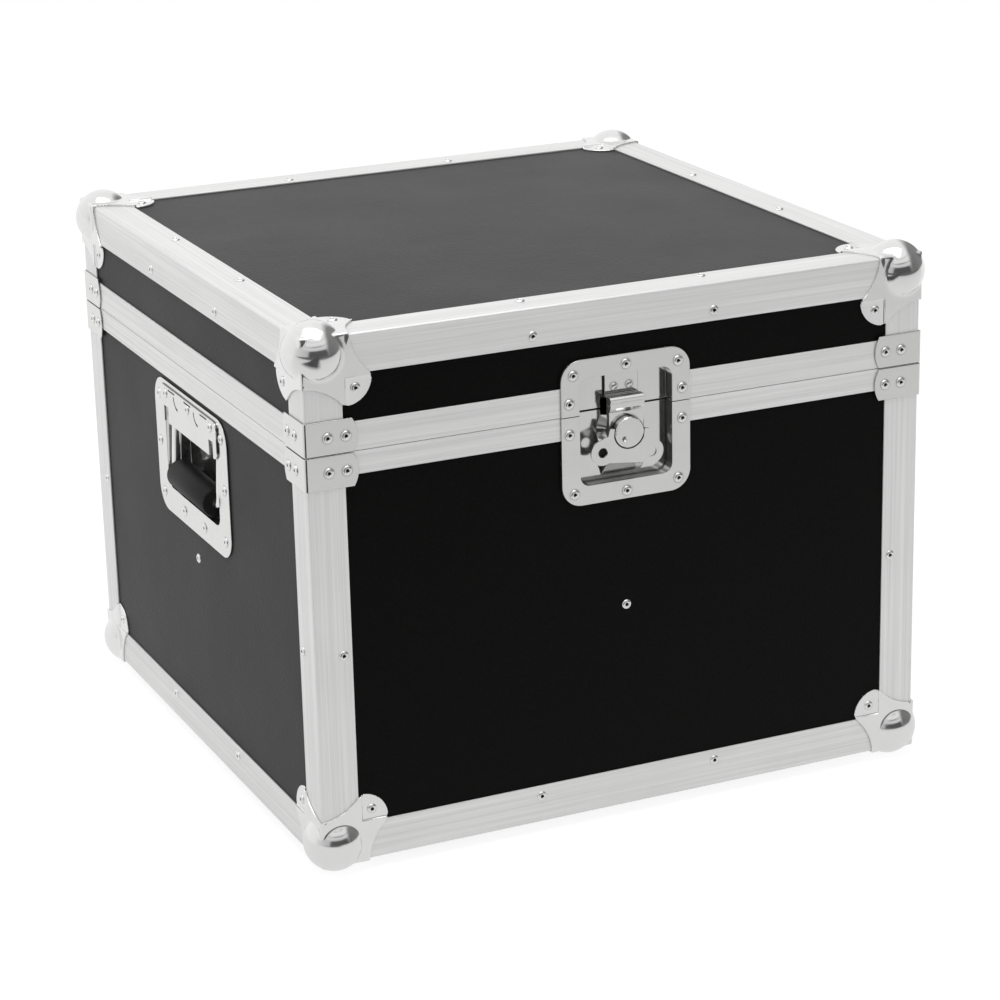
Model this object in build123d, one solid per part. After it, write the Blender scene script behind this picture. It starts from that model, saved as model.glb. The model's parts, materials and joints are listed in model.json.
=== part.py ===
from build123d import *
import os
from math import atan, atan2, cos, degrees, pi, radians, sin, sqrt

# Flight case for four par can lamps: laminated plywood boards held by riveted
# aluminium extrusions, steel ball corners, a hinged lid, a recessed butterfly
# latch at the front and a recessed spring handle at each end.
# Millimetres. X to the right, Y to the back, Z up. The origin is on the floor
# under the middle of the case, which stands on its four lower ball corners.

# Overall size, measured over the aluminium
case_width = 511.0
case_depth = 514.0
case_height = 408.0
lid_height = 87.5
parting_gap = 0.4

# Boards
board = 9.0
floor_corner_cut = 3.0

# Aluminium edge angle
angle_leg = 30.0
angle_wall = 1.5
angle_edge_radius = 1.2
corner_relief = 8.0

# Tongue and groove closing profiles round the opening
lid_band = 22.0
base_band = 17.5
rim_inner_leg = 14.0
rim_web = 4.0
tongue_depth = 3.2
tongue_top = 3.8
tongue_tip = 1.4
groove_clearance = 0.35
groove_floor = 2.0

# Ball corners
ball_radius = 23.4
ball_sides = 18
ball_steps = 2.5
ball_inset = 14.4
corner_sheet = 1.5
corner_leg = 36.8
corner_swell = (41.6, 17.0)
corner_root = (51.6, 29.7)
corner_tip = (53.2, 34.8)
corner_bulge = 47.2
corner_edge_chamfer = 1.2
corner_rivet = 40.3
fit_gap = 0.3

# Braces that wrap the upright corners beside the parting line
brace_sheet = 1.5
brace_leg = 36.5
brace_bow = 3.7
brace_height = 25.2
brace_rivets = (16.9, 31.0)
brace_edge_radius = 2.4

# Rivets
rivet_radius = 3.9
rivet_height = 1.5
rivet_sides = 5
rivet_taper = 38.0
rivet_pitch = 150.0
rivet_row = 21.5
post_rivet_row = 23.0
post_rivet_drop = 154.9
wall_rivet_drop = 155.9
latch_rivet_column = 47.0
latch_rivet_corner = 43.6
latch_rivet_rows = (35.3, 31.7, 10.2, -13.5, -60.3, -63.7)
handle_rivet_column = 76.0
handle_rivet_corner = 73.0
handle_rivet_foot = 24.0
handle_rivet_rows = (36.0, 76.7, 119.6, 122.7)
cover_rivet_column = 53.0
cover_rivet_row = 31.2

# Latch dish, pressed in two halves
latch_width = 107.4
latch_above = 43.0
latch_below = 69.9
latch_radius = 16.4
latch_mouth_width = 77.0
latch_mouth_above = 28.4
latch_mouth_below = 55.3
latch_mouth_radius = 8.0
latch_depth = 9.0
dish_sheet = 1.2
flange = 1.5
lip_width = 2.0
dish_clearance = 0.5

# Latch mechanism; heights are taken from the axis of the drum
drum_drop = 16.6
drum_radius = 12.0
drum_face = 7.6
drum_back = 1.8
drum_chamfer = 0.8
drum_sides = 32
shaft_sides = 12
cam_radius = 6.0
cam_throw = 4.0
drum_shaft = 5.0
running_gap = 0.08
drum_head_radius = 7.5
drum_head = 1.4
dimple_radius = 2.2
dimple_place = (-4.6, -4.6)
boss_foot = 20.0
boss_top = 14.0
boss_height = 4.0
window_width = 33.0
window_above = 8.0
window_below = 5.0

hook_width = 28.6
hook_sheet = 1.5
hook_top = 27.3
hook_step = (15.2, 18.8)
hook_bottom = 17.0
hook_roll = 4.0
hook_roll_proud = 0.6
hook_rise = 3.0
hook_flange = 3.0
slot_clearance = 0.4

wing_sheet = 1.5
wing_back = 5.0
wing_lobe_place = (20.5, -15.6)
wing_lobe_radius = 9.8
wing_hole_radius = 4.0
wing_notch_radius = 13.0
wing_prong = 16.4
wing_prong_top = 2.6
wing_prong_foot = (17.4, -3.4)
wing_waist = (24.7, -6.8)
wing_lower_edge = (17.5, -23.6)
wing_tilt = 6.5
ear_sheet = 1.5
ear_depth = 2.2
ear_foot = -4.0
wing_pin_radius = 1.4
wing_pin_out = 4.7

rest_half_width = 16.5
rest_top = -21.4
rest_foot = -35.5
rest_sheet = 1.5
rest_gap = 0.4

keeper_width = 27.6
keeper_plate = 2.5
keeper_top = 26.8
keeper_ledge_height = 8.6
keeper_ledge_sheet = 2.0
keeper_gap = 0.3
keeper_rivet_pitch = 12.8
keeper_rivet_height = 16.7
keeper_rivet_radius = 3.0
keeper_rivet_dome = 1.6

# Recessed spring handle
handle_width = 170.0
handle_height = 112.5
handle_drop = 21.5
handle_radius = 20.0
handle_mouth_width = 122.8
handle_mouth_top = 31.0
handle_mouth_bottom = 111.5
handle_mouth_radius = 9.0
handle_depth = 18.5
cover_half_width = 66.0
cover_top = 25.0
cover_bottom = 55.2
cover_radius = 6.0
cover_sheet = 1.5
cover_slit_radius = 9.0
cover_slit_width = 1.2
cover_slit_place = 26.0
bail_radius = 4.0
bail_half_width = 53.0
bail_pivot_drop = 47.0
bail_pivot_in = 5.7
bail_reach = 50.0
bail_bend = 9.0
bail_bend_folds = 3
bail_sides = 12
bail_butt = 0.4
notch_clearance = 0.8
saddle_length = 8.0
saddle_wall = 1.6
grip_radius = 12.0
grip_length = 88.0
grip_sides = 20
grip_chamfer = 2.0
spring_wire = 1.6
spring_turns = 3
spring_sides = 10
spring_pitch = 2.6
spring_gap = 0.5

# Hinges at the back
hinge_place = 150.0
hinge_width = 62.0
hinge_leaf = 1.5
hinge_reach = 40.0
hinge_out = 4.6
hinge_knuckle = 3.4
hinge_middle = 24.0
hinge_gap = 0.3
hinge_pin_radius = 1.8
hinge_heel = 3.9
hinge_heel_sheet = 1.6
hinge_rivet_column = 21.0
hinge_rivet_far = 30.0
hinge_rivet_near = 13.0
lid_angle = 100.0

# Inside
divider = 9.0
divider_drop = 30.0
divider_gap = 0.3
bracket_leg = 20.0
bracket_wall = 1.5
bracket_length = 80.0
floor_pad = 10.0
lid_pad = 14.0
pad_gap = 0.5

# Derived places
half_width = case_width / 2
half_depth = case_depth / 2
frame_bottom = ball_radius - ball_inset
frame_top = frame_bottom + case_height
parting = frame_top - lid_height
base_top = parting - parting_gap / 2
lid_bottom = parting + parting_gap / 2
panel_x = half_width - angle_wall
panel_y = half_depth - angle_wall
inner_x = panel_x - board
inner_y = panel_y - board
floor_top = frame_bottom + angle_wall + board
roof_under = frame_top - angle_wall - board
rim_width = 2 * angle_wall + board
base_board_top = base_top - rim_web - groove_floor
lid_board_bottom = lid_bottom + rim_web
drum_z = parting - drum_drop
latch_hole_x = latch_mouth_width / 2 + dish_sheet + dish_clearance
big = 2 * (case_width + case_depth)
quarter = 90.0


def side_plane(side):
    """The outer aluminium plane of one side, with its own X, height Z and outward normal."""
    if side == "front":
        return Plane(origin=(0, -half_depth, 0), x_dir=(1, 0, 0), z_dir=(0, -1, 0))
    if side == "back":
        return Plane(origin=(0, half_depth, 0), x_dir=(-1, 0, 0), z_dir=(0, 1, 0))
    if side == "left":
        return Plane(origin=(-half_width, 0, 0), x_dir=(0, -1, 0), z_dir=(-1, 0, 0))
    return Plane(origin=(half_width, 0, 0), x_dir=(0, 1, 0), z_dir=(1, 0, 0))


def face_plane(height, normal):
    """The outer aluminium plane of the top or the underside."""
    return Plane(origin=(0, 0, height), x_dir=(1, 0, 0), z_dir=(0, 0, normal))


def span(x0, x1, y0, y1, z0, z1):
    """A box between two corners."""
    size = (x1 - x0, y1 - y0, z1 - z0)
    return Pos((x0 + x1) / 2, (y0 + y1) / 2, (z0 + z1) / 2) * Box(*size)


def save(name, *solids):
    """Write one node as a STEP file holding its separate solids."""
    flat = []
    for item in solids:
        flat.extend(item.solids())
    export_step(Compound(label=name, children=flat), "parts/" + name + ".step")


def raised(outline, height):
    """Extrude a flat outline upwards, whichever way it was drawn."""
    return extrude(outline, height, dir=(0, 0, 1))


def upright(radius, height):
    """A low-sided turned piece."""
    return extrude(RegularPolygon(radius, shaft_sides), height)


def placed(plane, x, y, out, solid):
    """A solid built on XY with its foot at zero, stood on a plane."""
    return plane * Pos(x, y, out) * solid


# Boards

def latch_notch():
    """Room in the front boards and rim profiles for the latch dish."""
    low = parting - latch_mouth_below - dish_sheet - dish_clearance
    high = parting + latch_mouth_above + dish_sheet + dish_clearance
    return span(-latch_hole_x, latch_hole_x, -half_depth - 1, -inner_y + rim_width, low, high)


def handle_hole(side):
    """Room in an end board for the handle dish."""
    margin = dish_sheet + dish_clearance
    tall = handle_mouth_bottom - handle_mouth_top + 2 * margin
    wide = handle_mouth_width + 2 * margin
    middle = parting - (handle_mouth_bottom + handle_mouth_top) / 2
    hole = extrude(RectangleRounded(wide, tall, handle_mouth_radius + margin), 3 * board, both=True)
    return placed(side_plane(side), 0, middle, 0, hole)


def flat_board(z0):
    """The floor or the roof board, its corners cut back under the balls."""
    slab = span(-panel_x, panel_x, -panel_y, panel_y, z0, z0 + board)
    return chamfer(slab.edges().filter_by(Axis.Z), floor_corner_cut)


def wall_boards(z0, z1):
    """Four wall boards; the front and back ones run through to the corners."""
    return {
        "front": span(-panel_x, panel_x, -panel_y, -inner_y, z0, z1),
        "back": span(-panel_x, panel_x, inner_y, panel_y, z0, z1),
        "left": span(-panel_x, -inner_x, -inner_y, inner_y, z0, z1),
        "right": span(inner_x, panel_x, -inner_y, inner_y, z0, z1),
    }


def make_boards():
    save("base_floor_panel", flat_board(frame_bottom + angle_wall))
    save("lid_top_panel", flat_board(roof_under))
    base = wall_boards(floor_top, base_board_top)
    base["front"] -= latch_notch()
    base["left"] -= handle_hole("left")
    base["right"] -= handle_hole("right")
    lid = wall_boards(lid_board_bottom, roof_under)
    lid["front"] -= latch_notch()
    for side in ("front", "back", "left", "right"):
        save("base_" + side + "_panel", base[side])
        save("lid_" + side + "_panel", lid[side])


# Aluminium extrusions

def rail(section, length):
    """An extrusion along X with its outer face on y = 0 and both ends mitred at 45 degrees."""
    outline = make_face(Polyline(*section, close=True))
    bar = extrude(Plane.YZ * outline, length / 2, both=True)
    reach = max(point[0] for point in section)
    half = length / 2
    plan = make_face(Polyline((-half, 0), (half, 0), (half - reach, reach), (reach - half, reach), close=True))
    return bar & extrude(plan, big, both=True)


def on_side(part, side, z):
    """Turn and move a rail built along X to one side of the case."""
    if side == "front":
        return Pos(0, -half_depth, z) * part
    if side == "back":
        return Pos(0, half_depth, z) * Rot(0, 0, 180) * part
    if side == "left":
        return Pos(-half_width, 0, z) * Rot(0, 0, -90) * part
    return Pos(half_width, 0, z) * Rot(0, 0, 90) * part


def side_length(side):
    return case_width if side in ("front", "back") else case_depth


def corner_blocks(z0, z1):
    """Blocks that cut the extrusions back inside the ball corners."""
    blocks = []
    for sx in (-1, 1):
        for sy in (-1, 1):
            x = sx * half_width
            y = sy * half_depth
            blocks.append(Pos(x, y, (z0 + z1) / 2) * Box(2 * corner_relief, 2 * corner_relief, z1 - z0))
    return blocks


def angle_section(up):
    """Cross-section of the edge angle: inward distance and height, with a broken outer edge."""
    r = angle_edge_radius
    points = [(0, r), (r, 0), (angle_leg, 0), (angle_leg, angle_wall)]
    points += [(angle_wall, angle_wall), (angle_wall, angle_leg), (0, angle_leg)]
    return [(u, up * v) for u, v in points]


def make_angles():
    for side in ("front", "back", "left", "right"):
        low = on_side(rail(angle_section(1), side_length(side)), side, frame_bottom)
        high = on_side(rail(angle_section(-1), side_length(side)), side, frame_top)
        for block in corner_blocks(frame_bottom - 1, frame_bottom + corner_relief):
            low -= block
        for block in corner_blocks(frame_top - corner_relief, frame_top + 1):
            high -= block
        save("bottom_angle_" + side, low)
        save("top_angle_" + side, high)


def corner_posts(z0, z1):
    """The four upright angles between two heights."""
    outline = make_face(Polyline(*angle_section(1), close=True))
    post = Pos(-half_width, -half_depth, z0) * raised(outline, z1 - z0)
    twin = mirror(post, about=Plane.YZ)
    return [post, twin, mirror(post, about=Plane.XZ), mirror(twin, about=Plane.XZ)]


def base_rim_section():
    """Outer leg, grooved web and inner leg; the board stands between the legs."""
    middle = rim_width / 2
    top = tongue_top / 2 + groove_clearance
    tip = tongue_tip / 2 + groove_clearance
    web = rim_web + groove_floor
    return [
        (0, -base_band), (angle_wall, -base_band), (angle_wall, -web),
        (rim_width - angle_wall, -web), (rim_width - angle_wall, -rim_inner_leg),
        (rim_width, -rim_inner_leg), (rim_width, 0), (middle + top, 0),
        (middle + tip, -rim_web), (middle - tip, -rim_web), (middle - top, 0), (0, 0),
    ]


def lid_rim_section():
    """Outer leg, web with the tongue under it, and inner leg."""
    middle = rim_width / 2
    top = tongue_top / 2
    tip = tongue_tip / 2
    return [
        (0, 0), (middle - top, 0), (middle - tip, -tongue_depth), (middle + tip, -tongue_depth),
        (middle + top, 0), (rim_width, 0), (rim_width, rim_inner_leg),
        (rim_width - angle_wall, rim_inner_leg), (rim_width - angle_wall, rim_web),
        (angle_wall, rim_web), (angle_wall, lid_band), (0, lid_band),
    ]


def make_rims():
    for side in ("front", "back", "left", "right"):
        base = on_side(rail(base_rim_section(), side_length(side)), side, base_top)
        lid = on_side(rail(lid_rim_section(), side_length(side)), side, lid_bottom)
        if side == "front":
            base -= latch_notch()
            lid -= latch_notch()
        save("base_rim_" + side, base)
        save("lid_rim_" + side, lid)
    save("base_corner_posts", *corner_posts(frame_bottom + angle_leg, base_top - base_band))
    save("lid_corner_posts", *corner_posts(lid_bottom + lid_band, frame_top - angle_leg))


# Ball corners and braces

def corner_outline():
    """One face of a ball corner: two legs along the edges and a rounded ear between them."""
    start = (corner_leg, -corner_sheet)
    lower = ThreePointArc((corner_leg, 0), corner_swell, corner_root)
    ear = ThreePointArc(corner_tip, (corner_bulge, corner_bulge), corner_tip[::-1])
    upper = ThreePointArc(corner_root[::-1], corner_swell[::-1], (0, corner_leg))
    edges = [
        Line((-corner_sheet, -corner_sheet), start), Line(start, (corner_leg, 0)), lower,
        Line(corner_root, corner_tip), ear, Line(corner_tip[::-1], corner_root[::-1]), upper,
        Line((0, corner_leg), (-corner_sheet, corner_leg)),
        Line((-corner_sheet, corner_leg), (-corner_sheet, -corner_sheet)),
    ]
    return make_face(Wire(edges))


def corner_face():
    """The sheet of one face: legs over the aluminium and an ear pressed down to the board."""
    outline = corner_outline()
    ear = angle_leg + fit_gap
    pan = ear + corner_sheet
    sheet = Pos(0, 0, -corner_sheet) * raised(outline, corner_sheet)
    sheet -= span(pan, big, pan, big, -big, big)
    step = Pos(0, 0, -corner_sheet) * raised(outline, corner_sheet + angle_wall)
    step &= span(ear, big, ear, big, -big, big)
    step -= span(pan, big, pan, big, -big, angle_wall - corner_sheet)
    return sheet + step


def ball_corner():
    """A ball corner with the case corner at the origin and the case in the positive octant."""
    face = corner_face()
    diagonal = Axis((0, 0, 0), (1, 1, 1))
    body = face + face.rotate(diagonal, 120) + face.rotate(diagonal, 240)
    outer = body.edges().filter_by(lambda edge: on_outer_edge(edge))
    inwards = Plane(origin=(ball_inset, ball_inset, ball_inset), x_dir=(2, -1, -1), z_dir=(1, 1, 1))
    ball = inwards * faceted_ball()
    ball -= span(0, big, 0, big, 0, big)
    return chamfer(outer, corner_edge_chamfer) + ball


def faceted_ball():
    """A ball of flat faces with a point on each axis of the case, which keeps eight corners light."""
    step = atan(sqrt(2)) / ball_steps
    turns = [2 * pi * i / ball_sides for i in range(ball_sides)]
    rings = []
    for i in range(int(pi / step)):
        across = ball_radius * sin(step * (i + 0.5))
        height = -ball_radius * cos(step * (i + 0.5))
        rings.append([(across * cos(turn), across * sin(turn), height) for turn in turns])
    faces = [make_face(Polyline(*ring, close=True)) for ring in (rings[0], rings[-1])]
    for low, high in zip(rings, rings[1:]):
        for i in range(ball_sides):
            faces.append(make_face(Polyline(low[i - 1], low[i], high[i], high[i - 1], close=True)))
    return Solid(Shell([face.face() for face in faces]))


def on_outer_edge(edge):
    """True for the three long edges where two legs meet."""
    middle = edge.center()
    low = [abs(value + corner_sheet) < 0.01 for value in (middle.X, middle.Y, middle.Z)]
    return sum(low) == 2 and edge.length > corner_leg / 2


def four_corners(part):
    """A piece at the left front corner and its three mirror images."""
    left = Pos(-half_width, -half_depth, 0) * part
    right = mirror(left, about=Plane.YZ)
    return [left, right, mirror(left, about=Plane.XZ), mirror(right, about=Plane.XZ)]


def make_ball_corners():
    corner = ball_corner()
    save("base_ball_corners", *four_corners(Pos(0, 0, frame_bottom) * corner))
    save("lid_ball_corners", *four_corners(Pos(0, 0, frame_top) * mirror(corner, about=Plane.XY)))


def corner_brace(z0):
    """A folded plate round an upright corner, its two free edges bowed."""
    middle = brace_height / 2
    bow = ThreePointArc((brace_leg, 0), (brace_leg + brace_bow, middle), (brace_leg, brace_height))
    leg = make_face(Wire([
        Line((-brace_sheet, 0), (brace_leg, 0)), bow, Line((brace_leg, brace_height), (-brace_sheet, brace_height)),
        Line((-brace_sheet, brace_height), (-brace_sheet, 0)),
    ]))
    front = extrude(Plane.XZ * leg, brace_sheet, dir=(0, -1, 0))
    side = mirror(front, about=Plane(origin=(0, 0, 0), z_dir=(1, -1, 0)))
    brace = front + side
    fold = brace.edges().filter_by(Axis.Z).sort_by(lambda edge: edge.center().X + edge.center().Y)[0]
    return Pos(0, 0, z0) * fillet(fold, brace_edge_radius)


def make_braces():
    save("base_corner_braces", *four_corners(corner_brace(base_top - fit_gap - brace_height)))
    save("lid_corner_braces", *four_corners(corner_brace(lid_bottom + fit_gap)))


# Latch

def pressed_dish(wide, tall, radius, mouth_wide, mouth_tall, mouth_radius, shift, depth):
    """A pressed tray with a flat flange; the mouth's middle is at the origin."""
    outer = Pos(0, shift, 0) * extrude(RectangleRounded(wide, tall, radius), flange)
    pan = RectangleRounded(mouth_wide + 2 * dish_sheet, mouth_tall + 2 * dish_sheet, mouth_radius + dish_sheet)
    tray = Pos(0, 0, -depth - dish_sheet) * extrude(pan, depth + dish_sheet)
    hollow = Pos(0, 0, -depth) * extrude(RectangleRounded(mouth_wide, mouth_tall, mouth_radius), depth + 2 * flange)
    return outer + tray - hollow


def latch_dish():
    """Both halves of the latch dish before they are parted, in case coordinates."""
    tall = latch_above + latch_below
    mouth_tall = latch_mouth_above + latch_mouth_below
    middle = (latch_mouth_above - latch_mouth_below) / 2
    shift = (latch_above - latch_below) / 2 - middle
    dish = pressed_dish(latch_width, tall, latch_radius, latch_mouth_width, mouth_tall,
                        latch_mouth_radius, shift, latch_depth)
    lip = RectangleRounded(latch_width, tall, latch_radius)
    lip -= RectangleRounded(latch_width - 2 * lip_width, tall - 2 * lip_width, latch_radius - lip_width)
    dish += Pos(0, shift, -angle_wall) * extrude(lip, angle_wall)
    dish = placed(side_plane("front"), 0, parting + middle, 0, dish)
    low = base_top - base_band
    high = lid_bottom + lid_band
    for sx in (-1, 1):
        band = Pos(sx * (latch_hole_x + big / 2 - fit_gap), -half_depth + big / 2, (low + high) / 2)
        dish -= band * Box(big, big, high - low + 2 * fit_gap)
    return dish


def at_latch(x, y, out, solid):
    """Place a solid on the front plane, with heights taken from the parting line."""
    return placed(side_plane("front"), x, parting + y, out, solid)


def at_drum(solid):
    """Place a solid built round the drum axis, Z outwards from the aluminium plane."""
    return placed(side_plane("front"), 0, drum_z, 0, solid)


def make_latch_dishes():
    dish = latch_dish()
    window = at_latch(0, (window_above - window_below) / 2, -latch_depth - 2 * dish_sheet,
                      extrude(Rectangle(window_width, window_above + window_below), 3 * boss_height))
    upper = dish & span(-big, big, -big, big, lid_bottom, big)
    save("latch_dish_upper", upper - window)
    lower = dish & span(-big, big, -big, big, -big, base_top)
    slope = degrees(atan2(boss_foot - boss_top, boss_height))
    boss = extrude(RegularPolygon(boss_foot, drum_sides), boss_height, taper=slope)
    boss = Pos(0, 0, -latch_depth) * boss
    lower += at_drum(boss) & span(-big, big, -big, big, -big, base_top)
    shaft_hole = Pos(0, 0, -latch_depth) * Cylinder(drum_shaft + running_gap, 4 * boss_height)
    save("latch_dish_lower", lower - at_drum(shaft_hole) - window)


def extruded_side_view(points, x0, x1):
    """A solid from a side view given as (height, outwards) points, between two x values."""
    view = make_face(Polyline(*[(0, height, out) for height, out in points], close=True))
    return Pos(x0, 0, 0) * extrude(view, x1 - x0, dir=(1, 0, 0))


def latch_hook():
    """The draw plate: it rides on the drum's cam and its top is turned in over the keeper."""
    half = hook_width / 2
    step_low, step_high = hook_step
    face = hook_rise + hook_sheet
    under = hook_top - hook_sheet
    roll = hook_top - hook_roll
    plate = extruded_side_view([
        (-hook_bottom, 0), (-hook_bottom, hook_sheet), (step_low, hook_sheet), (step_high, face - hook_roll_proud),
        (roll, face - hook_roll_proud), (roll, face), (hook_top - hook_sheet, face), (hook_top, hook_rise),
        (hook_top, -hook_flange),
        (under, -hook_flange), (under, hook_rise), (step_high + hook_sheet / 2, hook_rise),
        (step_low + hook_sheet / 2, 0),
    ], -half, half)
    side = [
        (-hook_bottom, 0), (step_low + hook_sheet / 2, 0), (step_high + hook_sheet / 2, hook_rise),
        (under, hook_rise), (under, -hook_flange), (-hook_bottom, -hook_flange),
    ]
    plate += extruded_side_view(side, -half, -half + hook_sheet)
    plate += extruded_side_view(side, half - hook_sheet, half)
    play = cam_throw * cam_play() + slot_clearance
    slot = SlotOverall(2 * (cam_radius + cam_throw + slot_clearance), 2 * (cam_radius + play))
    return plate - Pos(0, -cam_throw, -big / 2) * extrude(slot, big)


def cam_play():
    """How far a turning cam strays from an even lift, as a share of its throw."""
    turn = 39.54
    return abs(cos(radians(turn)) + 2 * turn / 180 - 1)


def latch_drum():
    """Turning boss, cam and shaft in one piece, with a riveted head behind the dish."""
    face = Pos(0, 0, drum_back) * extrude(RegularPolygon(drum_radius, drum_sides), drum_face - drum_back)
    face = chamfer(face.edges().group_by(Axis.Z)[-1], drum_chamfer)
    face -= Pos(*dimple_place, drum_face - drum_chamfer) * upright(dimple_radius, drum_chamfer)
    cam = Pos(0, -cam_throw, -hook_sheet / 4) * upright(cam_radius, drum_back + hook_sheet / 4)
    behind = latch_depth + dish_sheet + fit_gap
    shaft = Pos(0, 0, -behind) * upright(drum_shaft, behind)
    head = Pos(0, 0, -behind - drum_head) * upright(drum_head_radius, drum_head)
    return face + cam + shaft + head - wing_pin(running_gap / 2)


def wing_pin(extra):
    """The cross pin of the wing, or its bore when extra is the clearance."""
    length = 2 * (wing_notch_radius + ear_sheet)
    pin = Rot(0, 90, 0) * Cylinder(wing_pin_radius + extra, length)
    return Rot(0, 0, -wing_tilt) * Pos(0, 0, wing_pin_out) * pin


def latch_wing():
    """The butterfly: two lobes, a notch round the drum and two ears on the cross pin."""
    x, y = wing_lobe_place
    top = wing_prong_top
    half = [(wing_prong, top), wing_prong_foot, wing_waist, wing_lower_edge]
    outline = Polygon(*half, *[(-u, v) for u, v in reversed(half)], align=None)
    for sx in (-1, 1):
        outline += Pos(sx * x, y) * Circle(wing_lobe_radius)
    for sx in (-1, 1):
        outline -= Pos(sx * x, y) * RegularPolygon(wing_hole_radius, shaft_sides)
    inside = wing_notch_radius - ear_sheet / 3
    outline -= Circle(wing_notch_radius)
    outline -= Pos(0, inside) * Rectangle(2 * inside, 2 * inside)
    wing = Pos(0, 0, wing_back) * raised(outline, wing_sheet)
    for sx in (-1, 1):
        ear = span(0, ear_sheet, ear_foot, top, wing_back - ear_depth, wing_back + wing_sheet)
        wing += Pos(sx * (inside + ear_sheet / 2) - ear_sheet / 2, 0, 0) * ear
    return Rot(0, 0, -wing_tilt) * wing


def wing_rest():
    """A ramp with two cheeks, pressed out of the dish floor, that the folded wing lies against."""
    out = wing_back - rest_gap
    thick = rest_sheet * (rest_top - rest_foot) / latch_depth
    foot = (rest_foot, -latch_depth)
    top = (rest_top, out)
    ramp = extruded_side_view([foot, top, (rest_top, out - thick), (rest_foot + thick, -latch_depth)],
                              -rest_half_width, rest_half_width)
    inner = rest_half_width - rest_sheet
    for x in (-rest_half_width, inner):
        ramp += extruded_side_view([foot, top, (rest_top, -latch_depth)], x, x + rest_sheet)
    return ramp


def latch_keeper():
    """A plate on the upper dish floor whose lower edge is bent out as a ledge."""
    half = keeper_width / 2
    end = -hook_flange - keeper_gap
    ledge = keeper_ledge_height + keeper_ledge_sheet
    return extruded_side_view([
        (keeper_ledge_height, -latch_depth), (keeper_ledge_height, end), (ledge, end),
        (ledge, keeper_plate - latch_depth), (keeper_top, keeper_plate - latch_depth),
        (keeper_top, -latch_depth),
    ], -half, half)


def make_latch():
    make_latch_dishes()
    save("latch_hook", at_drum(latch_hook()))
    save("latch_drum", at_drum(latch_drum()))
    save("latch_wing_pin", at_drum(wing_pin(0)))
    save("latch_wing", at_drum(latch_wing() - wing_pin(running_gap)))
    save("latch_wing_rest", at_drum(wing_rest()))
    save("latch_keeper", at_latch(0, 0, 0, latch_keeper()))


# Handles

def handle_dish():
    """The deep tray of a handle, on the left plane's own axes."""
    mouth_tall = handle_mouth_bottom - handle_mouth_top
    middle = -(handle_mouth_bottom + handle_mouth_top) / 2
    shift = -(handle_drop + handle_height / 2) - middle
    dish = pressed_dish(handle_width, handle_height, handle_radius, handle_mouth_width, mouth_tall,
                        handle_mouth_radius, shift, handle_depth)
    return Pos(0, middle, 0) * dish


def handle_cover():
    """The raised plate over the spring axle, with two saddles that carry the axle."""
    tall = cover_bottom - cover_top
    plate = extrude(RectangleRounded(2 * cover_half_width, tall, cover_radius), cover_sheet)
    plate = Pos(0, -(cover_bottom + cover_top) / 2, flange) * plate
    pivot = -bail_pivot_drop
    notch_half = bail_radius + notch_clearance
    for sx in (-1, 1):
        x = sx * bail_half_width
        plate -= span(x - notch_half, x + notch_half, -big, pivot + notch_half, -big, big)
        plate -= Pos(sx * cover_slit_place, pivot + cover_slit_radius, 0) * cover_slit()
        plate += Pos(sx * cover_slit_place, pivot, 0) * saddle()
    return plate


def cover_slit():
    """A C-shaped slit left by pressing a saddle loop."""
    ring = Circle(cover_slit_radius) - Circle(cover_slit_radius - cover_slit_width)
    half = Pos(cover_slit_radius / 2, -cover_slit_radius / 2) * Rectangle(cover_slit_radius, cover_slit_radius)
    return extrude(ring & half, 4 * cover_sheet)


def saddle():
    """A strap round the axle, hanging from the cover plate."""
    outer = bail_radius + saddle_wall
    strap = Rot(0, 90, 0) * Pos(0, 0, -saddle_length / 2) * extrude(RegularPolygon(outer, bail_sides), saddle_length)
    strap = Pos(0, 0, -bail_pivot_in) * strap
    half = saddle_length / 2
    strap += span(-half, half, -outer, outer, -bail_pivot_in, flange)
    bore = Rot(0, 90, 0) * Cylinder(bail_radius + running_gap, big)
    return strap - Pos(0, 0, -bail_pivot_in) * bore


def handle_bail():
    """One rod bent to a closed frame, with its ends butted in the middle of the axle."""
    x = bail_half_width
    low = -bail_reach
    butt = bail_butt / 2
    right = bend_points((x, 0), quarter) + bend_points((x, low), 0)
    left = [(-u, v) for u, v in reversed(right)]
    path = Polyline((butt, 0), *right, *left, (-butt, 0))
    section = Plane(origin=path @ 0, z_dir=path % 0) * RegularPolygon(bail_radius, bail_sides)
    rod = sweep(section, path=path, transition=Transition.RIGHT)
    return Pos(0, -bail_pivot_drop, -bail_pivot_in) * rod


def bend_points(corner, start):
    """Corners of the even folds round one bend; start is where its arc begins, in degrees."""
    side = 1 if start else -1
    centre = (corner[0] - bail_bend, corner[1] - side * bail_bend)
    fold = quarter / bail_bend_folds
    reach = bail_bend / cos(radians(fold / 2))
    turns = [radians(start - fold * (i + 0.5)) for i in range(bail_bend_folds)]
    return [(centre[0] + reach * cos(turn), centre[1] + reach * sin(turn)) for turn in turns]


def handle_grip():
    """A rubber sleeve on the lower run of the bail."""
    straight = grip_length / 2 - grip_chamfer
    outline = RegularPolygon(grip_radius, grip_sides)
    half = extrude(outline, straight) + Pos(0, 0, straight) * extrude(outline, grip_chamfer, taper=45)
    grip = half + mirror(half, about=Plane.XY)
    bore = RegularPolygon(bail_radius + running_gap, bail_sides)
    grip -= Pos(0, 0, -grip_length) * extrude(bore, 2 * grip_length)
    return Pos(0, -bail_pivot_drop - bail_reach, -bail_pivot_in) * Rot(0, 90, 0) * grip


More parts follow.
